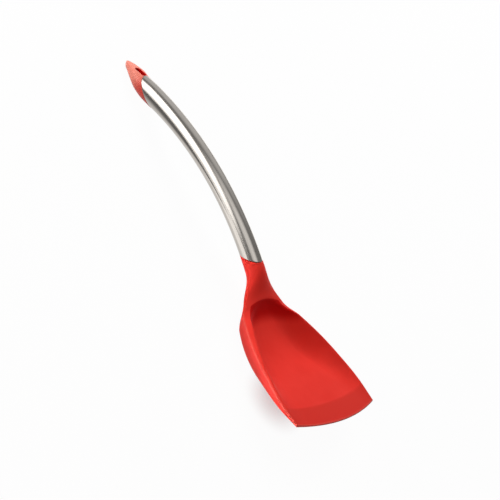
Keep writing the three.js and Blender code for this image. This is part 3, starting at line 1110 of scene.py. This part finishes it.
    def sleeve_ring(self, share: float, inset: float) -> np.ndarray:
        """Ring of the sleeve behind the root, which follows the tube up to its slanted end.

        Args:
            share: 0 at the root, 1 at the end of the sleeve.
            inset: How far the ring is drawn in, where the end rounds off.

        Returns:
            The points of the ring.
        """
        plan = self.plan
        outline = self.outline(self.section(0.0))
        across, over = outline[:, 0] / plan.tube_width, outline[:, 1] / plan.tube_depth - 0.5
        gap = plan.clearance / math.cos(plan.neck_cut)
        run = share * (plan.neck_end(over * plan.tube_depth) - gap)
        half_side, half_up = plan.tube_half(run)
        lean = plan.handle_slope - run / plan.handle_radius
        centre_x, centre_z = plan.handle_centre()
        up = plan.handle_radius + 2.0 * over * (half_up - inset)
        side = 2.0 * across * (half_side - inset)
        return np.stack([centre_x + up * np.sin(lean), side, centre_z + up * np.cos(lean)], axis=1)

    def runs(self) -> np.ndarray:
        """Chooses the runs of the rings, closer where the surface turns quickly.

        Returns:
            The runs, in order.
        """
        front = self.plan.front_run
        marks = [
            0.0,
            self.neck_length - self.edge_before,
            self.neck_length + self.edge_after,
            self.plan.sole_run,
            front - self.lip_length,
            front - self.lip_thickness / 2.0,
        ]
        spans = zip(marks, marks[1:], self.ring_counts)
        return np.concatenate([marks[:1]] + [np.linspace(*span)[1:] for span in spans])

    def build(self) -> bpy.types.Object:
        """Builds the head, still in the frame of the blade.

        Returns:
            The object, with point attributes for the painted highlight on its edges, the darker tone of the
            lip and the painted shade on the back wall.
        """
        nose = np.linspace(0.0, math.pi / 2.0, self.nose_steps + 2)[1:-1]
        rings = [self.sleeve_ring(1.0, self.edge_round)]
        rings += [self.sleeve_ring(share, 0.0) for share in np.linspace(*self.sleeve_ends, self.sleeve_rings)]
        tones = [np.zeros((len(rings[0]), 3))] * len(rings)
        radius = self.lip_thickness / 2.0
        tail = [(self.plan.front_run - radius + radius * math.sin(a), math.cos(a)) for a in nose]
        for run, squeeze in [(run, 1.0) for run in self.runs()] + tail:
            ring, tone = self.head_ring(run, squeeze)
            rings.append(ring)
            tones.append(tone)
        mesh = skin_mesh("silicone_head_soft", rings)
        values = np.vstack(tones + [np.zeros((1, 3)), np.array([[1.0, 1.0, 0.0]])]).astype(np.float32)
        # point attributes: painted highlight on the edges, darker tone of the lip, painted shade on the back
        # wall
        for column, name in enumerate(("edge_highlight", "lip", "back")):
            data = mesh.attributes.new(name, "FLOAT", "POINT").data
            data.foreach_set("value", np.ascontiguousarray(values[:, column]))
        return new_object("silicone_head_soft", mesh)

    def dress(self, piece: bpy.types.Object, material: bpy.types.Material) -> None:
        """Gives the head its material."""
        piece.data.materials.append(material)


@dataclass(frozen=True)
class HandleBend:
    """Geometry Nodes that bend a straight drawing along the handle.

    The drawing has the run backwards along X, the sides along Y and the height over the middle line along Z.

    Attributes:
        plan: Sizes shared by the pieces.
    """

    plan: TurnerPlan

    def tree(self) -> bpy.types.NodeTree:
        """Builds the tree, with named inputs for its sizes.

        Returns:
            The tree.
        """
        tree = bpy.data.node_groups.new("bend_along_handle", "GeometryNodeTree")
        tree.interface.new_socket("Geometry", in_out="INPUT", socket_type="NodeSocketGeometry")
        for name in ("Slope", "Radius", "Centre X", "Centre Z"):
            tree.interface.new_socket(name, in_out="INPUT", socket_type="NodeSocketFloat")
        tree.interface.new_socket("Material", in_out="INPUT", socket_type="NodeSocketMaterial")
        tree.interface.new_socket("Geometry", in_out="OUTPUT", socket_type="NodeSocketGeometry")
        nodes = NodeTree(tree)
        given = nodes.add("NodeGroupInput").outputs
        place = nodes.add("GeometryNodeInputPosition").outputs[0]
        drawn = nodes.add("ShaderNodeSeparateXYZ", {0: place}).outputs
        run = nodes.math("MULTIPLY", drawn[0], -1.0)
        turned = nodes.math("DIVIDE", run, given["Radius"])
        lean = nodes.math("MAXIMUM", nodes.math("SUBTRACT", given["Slope"], turned), 0.0)
        arc = nodes.math("MULTIPLY", given["Radius"], given["Slope"])
        straight = nodes.math("MAXIMUM", nodes.math("SUBTRACT", run, arc), 0.0)
        reach = nodes.math("ADD", given["Radius"], drawn[2])
        ahead = nodes.math("MULTIPLY", reach, nodes.math("SINE", lean))
        above = nodes.math("MULTIPLY", reach, nodes.math("COSINE", lean))
        x = nodes.math("SUBTRACT", nodes.math("ADD", given["Centre X"], ahead), straight)
        z = nodes.math("ADD", given["Centre Z"], above)
        bent = nodes.add("ShaderNodeCombineXYZ", {0: x, 1: drawn[1], 2: z}).outputs[0]
        moved = nodes.add("GeometryNodeSetPosition", {"Geometry": given["Geometry"], "Position": bent})
        real = nodes.add("GeometryNodeRealizeInstances", {"Geometry": moved.outputs[0]}).outputs[0]
        dressed = nodes.add("GeometryNodeSetMaterial", {"Geometry": real, "Material": given["Material"]})
        nodes.add("NodeGroupOutput", {"Geometry": dressed.outputs[0]})
        return tree

    def apply(self, piece: bpy.types.Object, material: bpy.types.Material) -> None:
        """Bends a piece and turns the result into its plain mesh.

        Args:
            piece: The straight drawing.
            material: The material that the piece gets.
        """
        tree = self.tree()
        centre_x, centre_z = self.plan.handle_centre()
        values = {
            "Slope": self.plan.handle_slope,
            "Radius": self.plan.handle_radius,
            "Centre X": centre_x,
            "Centre Z": centre_z,
            "Material": material,
        }
        modifier = piece.modifiers.new("bend", "NODES")
        modifier.node_group = tree
        for item in tree.interface.items_tree:
            if item.in_out == "INPUT" and item.name in values:
                modifier[item.identifier] = values[item.name]
        bake_modifiers(piece)


def bake_modifiers(piece: bpy.types.Object) -> None:
    """Turns what an object's modifiers make into its plain mesh and removes them.

    Args:
        piece: The object.
    """
    graph = bpy.context.evaluated_depsgraph_get()
    result = bpy.data.meshes.new_from_object(
        piece.evaluated_get(graph), preserve_all_data_layers=True, depsgraph=graph
    )
    result.name = piece.data.name
    piece.modifiers.clear()
    piece.data = result
    piece.data.shade_smooth()


@dataclass(frozen=True)
class HandleTube:
    """The steel tube: an oval that swells to the tail, cut on a slant at both ends.

    Attributes:
        plan: Sizes shared with the other pieces.
        edge_round: Rounding of the cut edges.
        edge_steps: Rings over that rounding.
        round_steps: Points round the tube.
        along_steps: Rings along its outside.
        bore_steps: Rings along its inside.
    """

    plan: TurnerPlan
    edge_round: float = 0.3
    edge_steps: int = 5
    round_steps: int = 128
    along_steps: int = 150
    bore_steps: int = 40

    def ring(self, share: float, offset: float, inset: float) -> np.ndarray:
        """Ring of the straight drawing.

        Args:
            share: 0 at the neck end, 1 at the tail end.
            offset: How far the ring is moved along the tube.
            inset: How far it is drawn in from the outside.

        Returns:
            The points of the ring.
        """
        plan = self.plan
        angle = np.linspace(0.0, 2.0 * math.pi, self.round_steps, endpoint=False)
        across, over = np.cos(angle), np.sin(angle)
        start = plan.neck_end(over * (plan.tube_depth / 2.0 - inset))
        end = plan.tail_end(over * (plan.tail_depth / 2.0 - inset))
        run = mix(start, end, share) + offset
        half_side, half_up = plan.tube_half(run)
        return np.stack([-run, across * (half_side - inset), over * (half_up - inset)], axis=1)

    def build(self) -> bpy.types.Object:
        """Builds the straight drawing of the tube.

        Returns:
            The object, with a map of runs and girths for its brush lines.
        """
        turn = np.linspace(0.0, math.pi / 2.0, self.edge_steps)
        offsets = self.edge_round * (1.0 - np.cos(turn))
        insets = self.edge_round * (1.0 - np.sin(turn))
        wall = self.plan.tube_wall
        body = np.linspace(0.0, 1.0, self.along_steps)[1:-1]
        plain = [(0.0, offset, inset) for offset, inset in zip(offsets, insets)]
        plain += [(share, 0.0, 0.0) for share in body]
        plain += [(1.0, -offset, inset) for offset, inset in zip(offsets[::-1], insets[::-1])]
        plain += [(share, 0.0, wall) for share in np.linspace(1.0, 0.0, self.bore_steps)]
        rings = [self.ring(*values) for values in plain]
        mesh = skin_mesh("handle_tube_satin", rings, joined=True)
        girth = math.pi * (self.plan.tube_width + self.plan.tube_depth) / 2.0 * MM
        uv_map = mesh.uv_layers.new(name="sweep")
        for face in mesh.polygons:
            numbers = [mesh.loops[i].vertex_index % self.round_steps for i in face.loop_indices]
            wraps = max(numbers) - min(numbers) > 1
            for loop, number in zip(face.loop_indices, numbers):
                turns = 1.0 if wraps and number == 0 else number / self.round_steps
                run = -mesh.vertices[mesh.loops[loop].vertex_index].co.x * MM
                uv_map.data[loop].uv = (run, turns * girth)
        return new_object("handle_tube_satin", mesh)

    def dress(self, piece: bpy.types.Object, material: bpy.types.Material) -> None:
        """Bends the tube along the handle and gives it its material."""
        HandleBend(self.plan).apply(piece, material)


@dataclass(frozen=True)
class TailCap:
    """The silicone tail cap: the oval of the tube drawn out to a prow, with the hang slot through it.

    Attributes:
        plan: Sizes shared with the other pieces.
        cap_length: From the middle of the slanted cut to the tip.
        prow_width: Width of the tip, seen from above.
        prow_height: Height of the tip, seen from the side.
        prow_length: Length of the rounded part of the tip.
        prow_end: Part of its width that is left at the very end.
        prow_lift: Part of its height that the rounding takes off below.
        prow_curve: How late the sides draw in.
        underside_rise: Rise of the underside, as a tangent.
        keel_bend: Rounding where the underside begins to rise.
        top_cut: How much the flat top takes off the round of the cap.
        top_run: Length over which the flat top grows to its width.
        slot_length: Length of the hang slot.
        slot_width: Its width.
        slot_from_tip: From the tip to its middle.
        fineness: Size of the cells that the surface is worked in.
        smooth_share: How far a pass of smoothing moves a point towards its neighbours.
        smooth_passes: Number of those passes.
        round_steps: Points round the cap.
        along_steps: Rings along it.
    """

    plan: TurnerPlan
    cap_length: float = 32.7
    prow_width: float = 4.4
    prow_height: float = 5.6
    prow_length: float = 5.5
    prow_end: float = 0.35
    prow_lift: float = 0.6
    prow_curve: float = 1.5
    underside_rise: float = math.tan(math.radians(26.0))
    keel_bend: float = 4.0
    top_cut: float = 1.4
    top_run: float = 8.0
    slot_length: float = 10.8
    slot_width: float = 4.7
    slot_from_tip: float = 16.2
    fineness: float = 0.2
    smooth_share: float = 0.5
    smooth_passes: int = 22
    round_steps: int = 96
    along_steps: int = 90

    @property
    def tip_run(self) -> float:
        """Run of the tip."""
        return self.plan.tail_run + self.cap_length

    def ring(self, share: float) -> np.ndarray:
        """Ring of the straight drawing.

        Args:
            share: 0 at the steel, 1 at the tip.

        Returns:
            The points of the ring.
        """
        plan = self.plan
        angle = (np.arange(self.round_steps) + 0.5) / self.round_steps * 2.0 * math.pi
        across, over = np.cos(angle), np.sin(angle)
        roof = plan.tail_depth / 2.0
        start = plan.tail_end(over * roof) + plan.clearance / math.cos(plan.tail_cut)
        run = mix(start, self.tip_run, share)
        taper_run = plan.tail_end(roof)
        taper = np.clip((run - taper_run) / (self.tip_run - taper_run), 0.0, 1.0)
        nose = np.clip((run - self.tip_run + self.prow_length) / self.prow_length, 0.0, 1.0)
        round_off = np.sqrt(1.0 - (1.0 - self.prow_end**2) * nose * nose)
        side = mix(plan.tail_width, self.prow_width, taper**self.prow_curve) / 2.0 * round_off
        crown = roof + self.top_cut * ease((run - taper_run) / self.top_run)
        before = np.maximum(0.0, self.tip_run - self.prow_length - run)
        keel = roof - self.prow_height - before * self.underside_rise
        lift = self.prow_height * self.prow_lift * (1.0 - round_off)
        under = soft_more(np.full_like(keel, -roof), keel, self.keel_bend) + lift
        up = np.minimum(roof, mix(under, crown, (over + 1.0) / 2.0))
        return np.stack([-run, side * across, up], axis=1)

    def slot_ring(self, up: float) -> np.ndarray:
        """Ring of the hang slot.

        Args:
            up: Height of the ring.

        Returns:
            The points of the ring.
        """
        angle = (np.arange(self.round_steps) + 0.5) / self.round_steps * 2.0 * math.pi
        straight = (self.slot_length - self.slot_width) / 2.0
        along = self.slot_width / 2.0 * np.sin(angle)
        along = along + straight * np.sign(along) + self.slot_from_tip - self.tip_run
        side = self.slot_width / 2.0 * np.cos(angle)
        return np.stack([along, side, np.full_like(side, up)], axis=1)

    def slot_share(self, points: np.ndarray) -> np.ndarray:
        """Tells which points lie on the walls of the hang slot.

        Args:
            points: Points of the straight drawing.

        Returns:
            1 for a point in the slot, 0 for one outside it, and a share between them at its edge.
        """
        straight = (self.slot_length - self.slot_width) / 2.0
        along = np.abs(points[:, 0] + self.tip_run - self.slot_from_tip)
        off = np.hypot(np.maximum(0.0, along - straight), points[:, 1]) - self.slot_width / 2.0
        return 1.0 - ease((off - self.fineness) / self.fineness)

    def build(self) -> bpy.types.Object:
        """Builds the straight drawing of the cap: cuts the slot, then works the surface over softly.

        Returns:
            The object, with a point attribute for the painted shade on the walls of the slot.
        """
        shares = np.linspace(0.0, 1.0, self.along_steps)
        piece = new_object("tail_cap_soft", skin_mesh("tail_cap_soft", [self.ring(t) for t in shares]))
        depth = self.plan.tail_depth
        hole = skin_mesh("slot_cutter", [self.slot_ring(-depth), self.slot_ring(depth)])
        cutter = new_object("slot_cutter", hole)
        cut = piece.modifiers.new("slot", "BOOLEAN")
        cut.operation = "DIFFERENCE"
        cut.solver = "EXACT"
        cut.object = cutter
        remesh = piece.modifiers.new("even", "REMESH")
        remesh.mode = "VOXEL"
        remesh.voxel_size = self.fineness
        smooth = piece.modifiers.new("soft", "SMOOTH")
        smooth.factor = self.smooth_share
        smooth.iterations = self.smooth_passes
        bake_modifiers(piece)
        bpy.data.objects.remove(cutter)
        places = np.empty(3 * len(piece.data.vertices), dtype=np.float32)
        piece.data.vertices.foreach_get("co", places)
        # painted shade on the walls of the slot
        inside = self.slot_share(places.reshape(-1, 3)).astype(np.float32)
        piece.data.attributes.new("back", "FLOAT", "POINT").data.foreach_set("value", inside)
        return piece

    def dress(self, piece: bpy.types.Object, material: bpy.types.Material) -> None:
        """Bends the cap along the handle and gives it its material."""
        HandleBend(self.plan).apply(piece, material)


@dataclass(frozen=True)
class PhotoCamera:
    """Camera at the photograph's viewing angle, in the frame of the blade.

    Attributes:
        azimuth: Angle of the camera round the blade, in radians.
        elevation: Angle over the sole, in radians.
        roll: Turn about the line of sight, in radians.
        distance: From the target, in millimetres.
        target: Point that the distance is measured from.
        shift: How far the line of sight passes beside the target, right and up.
        pixels_per_mm: Scale at the target.
        sensor: Width of the sensor, in millimetres.
        far: How far the camera sees, in metres.
    """

    azimuth: float = math.radians(-58.4)
    elevation: float = math.radians(26.8)
    roll: float = math.radians(26.4)
    distance: float = 959.0
    target: tuple[float, float, float] = (-110.0, 0.0, 20.0)
    shift: tuple[float, float] = (6.1, 31.0)
    pixels_per_mm: float = 1.401
    sensor: float = 36.0
    far: float = 20.0

    def build(self, rest: RestPose) -> bpy.types.Object:
        """Makes the camera the scene's own.

        Args:
            rest: How the tool lies.

        Returns:
            The camera.
        """
        toward = Vector((
            math.cos(self.elevation) * math.cos(self.azimuth),
            math.cos(self.elevation) * math.sin(self.azimuth),
            math.sin(self.elevation),
        ))
        level = Vector((0.0, 0.0, 1.0)).cross(toward).normalized()
        upright = toward.cross(level)
        right = math.cos(self.roll) * level + math.sin(self.roll) * upright
        up = math.cos(self.roll) * upright - math.sin(self.roll) * level
        centre = Vector(self.target) + self.distance * toward + self.shift[0] * right + self.shift[1] * up
        turn = Matrix.Rotation(-rest.tip, 3, "Y")
        axes = Matrix((turn @ right, turn @ up, turn @ toward)).transposed()
        data = bpy.data.cameras.new("photo_camera")
        data.sensor_width = self.sensor
        data.lens = self.sensor * self.pixels_per_mm * self.distance / PHOTO_PIXELS
        data.clip_end = self.far
        camera = bpy.data.objects.new("photo_camera", data)
        camera.matrix_world = Matrix.Translation(rest.matrix() @ centre) @ axes.to_4x4()
        bpy.context.scene.collection.objects.link(camera)
        bpy.context.scene.camera = camera
        return camera


@dataclass(frozen=True)
class Softbox:
    """A rectangular studio lamp that points at the tool.

    Attributes:
        name: Name of the lamp.
        place: Where it stands, in metres.
        size: Its width and height, in metres.
        power: Its power, in watts.
        colour: Its tint.
        aim: The place that it points at, in metres.
        spread: Full angle of its beam, in degrees.
    """

    name: str
    place: tuple[float, float, float]
    size: tuple[float, float]
    power: float
    colour: tuple[float, float, float] = (1.0, 1.0, 1.0)
    aim: tuple[float, float, float] = (0.0, 0.0, 0.0)
    spread: float = 180.0

    def build(self) -> bpy.types.Object:
        """Hangs the lamp.

        Returns:
            The lamp.
        """
        data = bpy.data.lights.new(self.name, "AREA")
        data.shape = "RECTANGLE"
        data.size, data.size_y = self.size
        data.energy = self.power
        data.color = self.colour
        data.spread = math.radians(self.spread)
        lamp = bpy.data.objects.new(self.name, data)
        lamp.visible_camera = False
        lamp.visible_glossy = False
        lamp.location = self.place
        lamp.rotation_euler = (Vector(self.aim) - Vector(self.place)).to_track_quat("-Z", "Y").to_euler()
        bpy.context.scene.collection.objects.link(lamp)
        return lamp


@dataclass(frozen=True)
class Panel:
    """A round bright patch of the surround that polished metal shows.

    Attributes:
        azimuth: Direction of its middle round the tool, in degrees.
        elevation: Height of its middle over the floor, in degrees.
        radius: Its angular radius, in degrees.
        strength: Its brightness.
        softness: Half of the angle over which its edge fades, in degrees.
    """

    azimuth: float
    elevation: float
    radius: float
    strength: float
    softness: float = 4.0

    def direction(self) -> Vector:
        """Finds the middle of the patch.

        Returns:
            The unit vector to it.
        """
        around, over = math.radians(self.azimuth), math.radians(self.elevation)
        level = math.cos(over)
        return Vector((level * math.cos(around), level * math.sin(around), math.sin(over)))

    def mask(self, nodes: NodeTree, view: bpy.types.NodeSocket) -> bpy.types.NodeSocket:
        """Gives 1 inside the patch and 0 outside it.

        Args:
            nodes: Tree of the surround.
            view: Direction that is looked up.

        Returns:
            The socket of the mask.
        """
        along = nodes.add("ShaderNodeVectorMath", {0: view, 1: self.direction()}, operation="DOT_PRODUCT")
        outer = math.cos(math.radians(self.radius + self.softness))
        inner = math.cos(math.radians(self.radius - self.softness))
        return nodes.ramp(along.outputs["Value"], outer, inner)


@dataclass(frozen=True)
class Studio:
    """Pale floor, soft lamps and an even surround.

    Attributes:
        floor_size: Width of the floor, in metres.
        paper: Tone of the floor.
        red_bounce: Painted red bounce light on the floor in the shadow of the blade.
        white_share: Part of the floor that looks white by itself; the rest shows the light and shadow on it.
        shadow_share: The same where the shadow of the blade falls.
        shadow_place: Where the middle of that shadow lies, in metres.
        shadow_reach: Radii within which its share is full and beyond which it is gone, in metres.
        ambient: Strength of the surround on what it lights.
        walls: Strength of the surround that polished metal shows at its sides.
        ceiling: The same overhead.
        ceiling_reach: Heights of the view, as sines, at which the ceiling begins and at which it is full.
        glare: Brightness of the open floor that polished metal shows.
        shade: The same close beside the tool.
        shade_reach: Distances from the middle plane of the tool within which it is full and beyond which
            it is gone, in metres.
        gap: The same in the dark patch beside the tail.
        gap_place: Where the middle of that patch lies, in metres.
        gap_reach: Radii within which it is full and beyond which it is gone, in metres.
        lamps: The softboxes.
        panels: Bright patches that polished metal shows.
    """

    floor_size: float = 12.0
    paper: tuple[float, ...] = (0.86, 0.86, 0.87, 1.0)
    red_bounce: tuple[float, ...] = (1.0, 0.70, 0.70, 1.0)
    white_share: float = 0.965
    shadow_share: float = 0.56
    shadow_place: tuple[float, float, float] = (0.123, -0.022, 0.0)
    shadow_reach: tuple[float, float] = (0.004, 0.029)
    ambient: float = 0.06
    walls: float = 0.22
    ceiling: float = 0.95
    ceiling_reach: tuple[float, float] = (0.85, 1.0)
    glare: float = 1.35
    shade: float = 0.85
    shade_reach: tuple[float, float] = (0.02, 0.045)
    gap: float = 0.15
    gap_place: tuple[float, float, float] = (-0.115, -0.095, 0.0)
    gap_reach: tuple[float, float] = (0.068, 0.092)
    lamps: tuple[Softbox, ...] = field(default_factory=lambda: (
        Softbox("key", (-0.62, 0.70, 0.92), (0.9, 0.9), 13.6),
        Softbox(
            "bounce", (0.045, -0.12, 0.007), (0.26, 0.010), 0.015, aim=(0.045, -0.04, 0.026), spread=32.0
        ),
        Softbox("left_fill", (0.10, -0.60, 0.30), (0.3, 0.3), 0.95, (1.0, 0.80, 0.76), aim=(0.08, 0.0, 0.02)),
        Softbox("tail_fill", (-0.48, -0.24, 0.20), (0.16, 0.16), 0.92, aim=(-0.14, 0.0, 0.01)),
    ))
    panels: tuple[Panel, ...] = (
        Panel(226.0, 28.0, 30.0, 1.8),
        Panel(224.0, 30.0, 16.0, 5.0, softness=6.0),
        Panel(262.0, 3.0, 11.0, 1.3),
        Panel(135.0, 26.0, 24.0, 0.62, softness=12.0),
    )

    def rays(self, nodes: NodeTree, *kinds: Ray) -> bpy.types.NodeSocket:
        """Tells light rays of some kinds from all others.

        Args:
            nodes: The tree that asks.
            kinds: The kinds.

        Returns:
            The socket of a value that is 1 for those kinds and 0 for others.
        """
        path = nodes.add("ShaderNodeLightPath").outputs
        share = path[kinds[0].value]
        for kind in kinds[1:]:
            share = nodes.math("MAXIMUM", share, path[kind.value])
        return share

    def floor(self) -> bpy.types.Object:
        """Lays the floor: white to the camera and to polished metal, darker where the tool shades it, and
        tinted with painted red bounce light in the shadow of the blade.

        Returns:
            The floor.
        """
        shape = bmesh.new()
        bmesh.ops.create_grid(shape, x_segments=8, y_segments=8, size=self.floor_size / 2.0)
        mesh = bpy.data.meshes.new("floor")
        shape.to_mesh(mesh)
        shape.free()
        material = bpy.data.materials.new("pale_floor")
        material.use_nodes = True
        material.node_tree.nodes.clear()
        nodes = NodeTree(material.node_tree)
        seen = self.rays(nodes, Ray.CAMERA, Ray.GLOSSY, Ray.TRANSMISSION)
        where = nodes.add("ShaderNodeTexCoord").outputs["Object"]
        beside = nodes.add("ShaderNodeVectorMath", {0: where, 1: self.shadow_place}, operation="DISTANCE")
        clear = nodes.ramp(beside.outputs["Value"], *self.shadow_reach)
        # near the blade the floor is tinted pink: painted red bounce light from the silicone
        paper = nodes.add("ShaderNodeBsdfDiffuse", {"Color": nodes.blend(clear, self.red_bounce, self.paper)})
        aside = nodes.math("ABSOLUTE", nodes.add("ShaderNodeSeparateXYZ", {0: where}).outputs["Y"])
        away = nodes.add("ShaderNodeVectorMath", {0: where, 1: self.gap_place}, operation="DISTANCE")
        open_floor = nodes.between(nodes.ramp(aside, *self.shade_reach), self.shade, self.glare)
        shown = nodes.between(nodes.ramp(away.outputs["Value"], *self.gap_reach), self.gap, open_floor)
        gain = nodes.between(self.rays(nodes, Ray.GLOSSY), 1.0, shown)
        glow = nodes.add("ShaderNodeEmission", {"Color": (1.0, 1.0, 1.0, 1.0), "Strength": gain})
        share = nodes.math("MULTIPLY", seen, nodes.between(clear, self.shadow_share, self.white_share))
        surface = nodes.add("ShaderNodeMixShader", {0: share, 1: paper.outputs[0], 2: glow.outputs[0]})
        nodes.add("ShaderNodeOutputMaterial", {"Surface": surface.outputs[0]})
        mesh.materials.append(material)
        floor = new_object("floor", mesh)
        return floor

    def surround(self) -> None:
        """Makes the surround: white to the camera, dimmer to metal, and even for what it lights."""
        world = bpy.data.worlds.new("studio")
        world.use_nodes = True
        world.node_tree.nodes.clear()
        nodes = NodeTree(world.node_tree)
        seen = self.rays(nodes, Ray.CAMERA, Ray.TRANSMISSION)
        shiny = self.rays(nodes, Ray.GLOSSY)
        view = nodes.add("ShaderNodeTexCoord").outputs["Generated"]
        height = nodes.add("ShaderNodeSeparateXYZ", {0: view}).outputs["Z"]
        shown = nodes.between(nodes.ramp(height, *self.ceiling_reach), self.walls, self.ceiling)
        for panel in self.panels:
            shown = nodes.between(panel.mask(nodes, view), shown, panel.strength)
        gain = nodes.between(shiny, self.ambient, shown)
        gain = nodes.between(seen, gain, 1.0)
        light = nodes.add("ShaderNodeBackground", {"Color": (1.0, 1.0, 1.0, 1.0), "Strength": gain})
        nodes.add("ShaderNodeOutputWorld", {"Surface": light.outputs[0]})
        bpy.context.scene.world = world

    def build(self) -> None:
        """Sets up the floor, the lamps and the surround."""
        self.floor()
        self.surround()
        for lamp in self.lamps:
            lamp.build()
        bpy.context.scene.view_settings.view_transform = "Standard"


def settle(piece: bpy.types.Object, rest: RestPose, node: str) -> None:
    """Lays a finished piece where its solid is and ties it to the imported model.

    Args:
        piece: The piece, in the frame of the blade.
        rest: How the tool lies.
        node: The solid that it stands for.
    """
    piece.data.transform(rest.matrix())
    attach(piece, "root")
    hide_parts(node)
    LOG.info("%s stands for %s: %d faces", piece.name, node, len(piece.data.polygons))


def main() -> None:
    """Builds the pieces, their finishes, the camera and the studio."""
    logging.basicConfig(level=logging.INFO, format="%(name)s: %(message)s")
    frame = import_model()
    plan = TurnerPlan()
    rest = RestPose.from_record(frame["record"], plan.mount_back)
    PhotoCamera().build(rest)
    Studio().build()
    silicone = SiliconeFinish().material()
    thin_silicone = SiliconeFinish(
        name="thin_red_silicone",
        deep=(0.70, 0.062, 0.045, 1.0),
        light=(0.75, 0.075, 0.053, 1.0),
        shine=0.5,
        roughness=(0.36, 0.40),
        grain=0.02,
    ).material()
    steel = BrushedSteelFinish().material()
    nylon = NylonFinish().material()

    pieces = (
        (ScoopHead(plan), silicone, "silicone_head", Slot.SILICONE),
        (HandleTube(plan), steel, "handle_tube", Slot.STEEL),
        (TailCap(plan), thin_silicone, "tail_cap", Slot.SILICONE),
    )
    for maker, material, node, slot in pieces:
        piece = maker.build()
        maker.dress(piece, material)
        settle(piece, rest, node)

    for name in ("head_core", "tail_plug"):
        core = frame["nodes"][name]
        core.data.materials.clear()
        core.data.materials.append(nylon)
        LOG.info("%s keeps its solid", name)


if __name__ == "__main__":
    main()
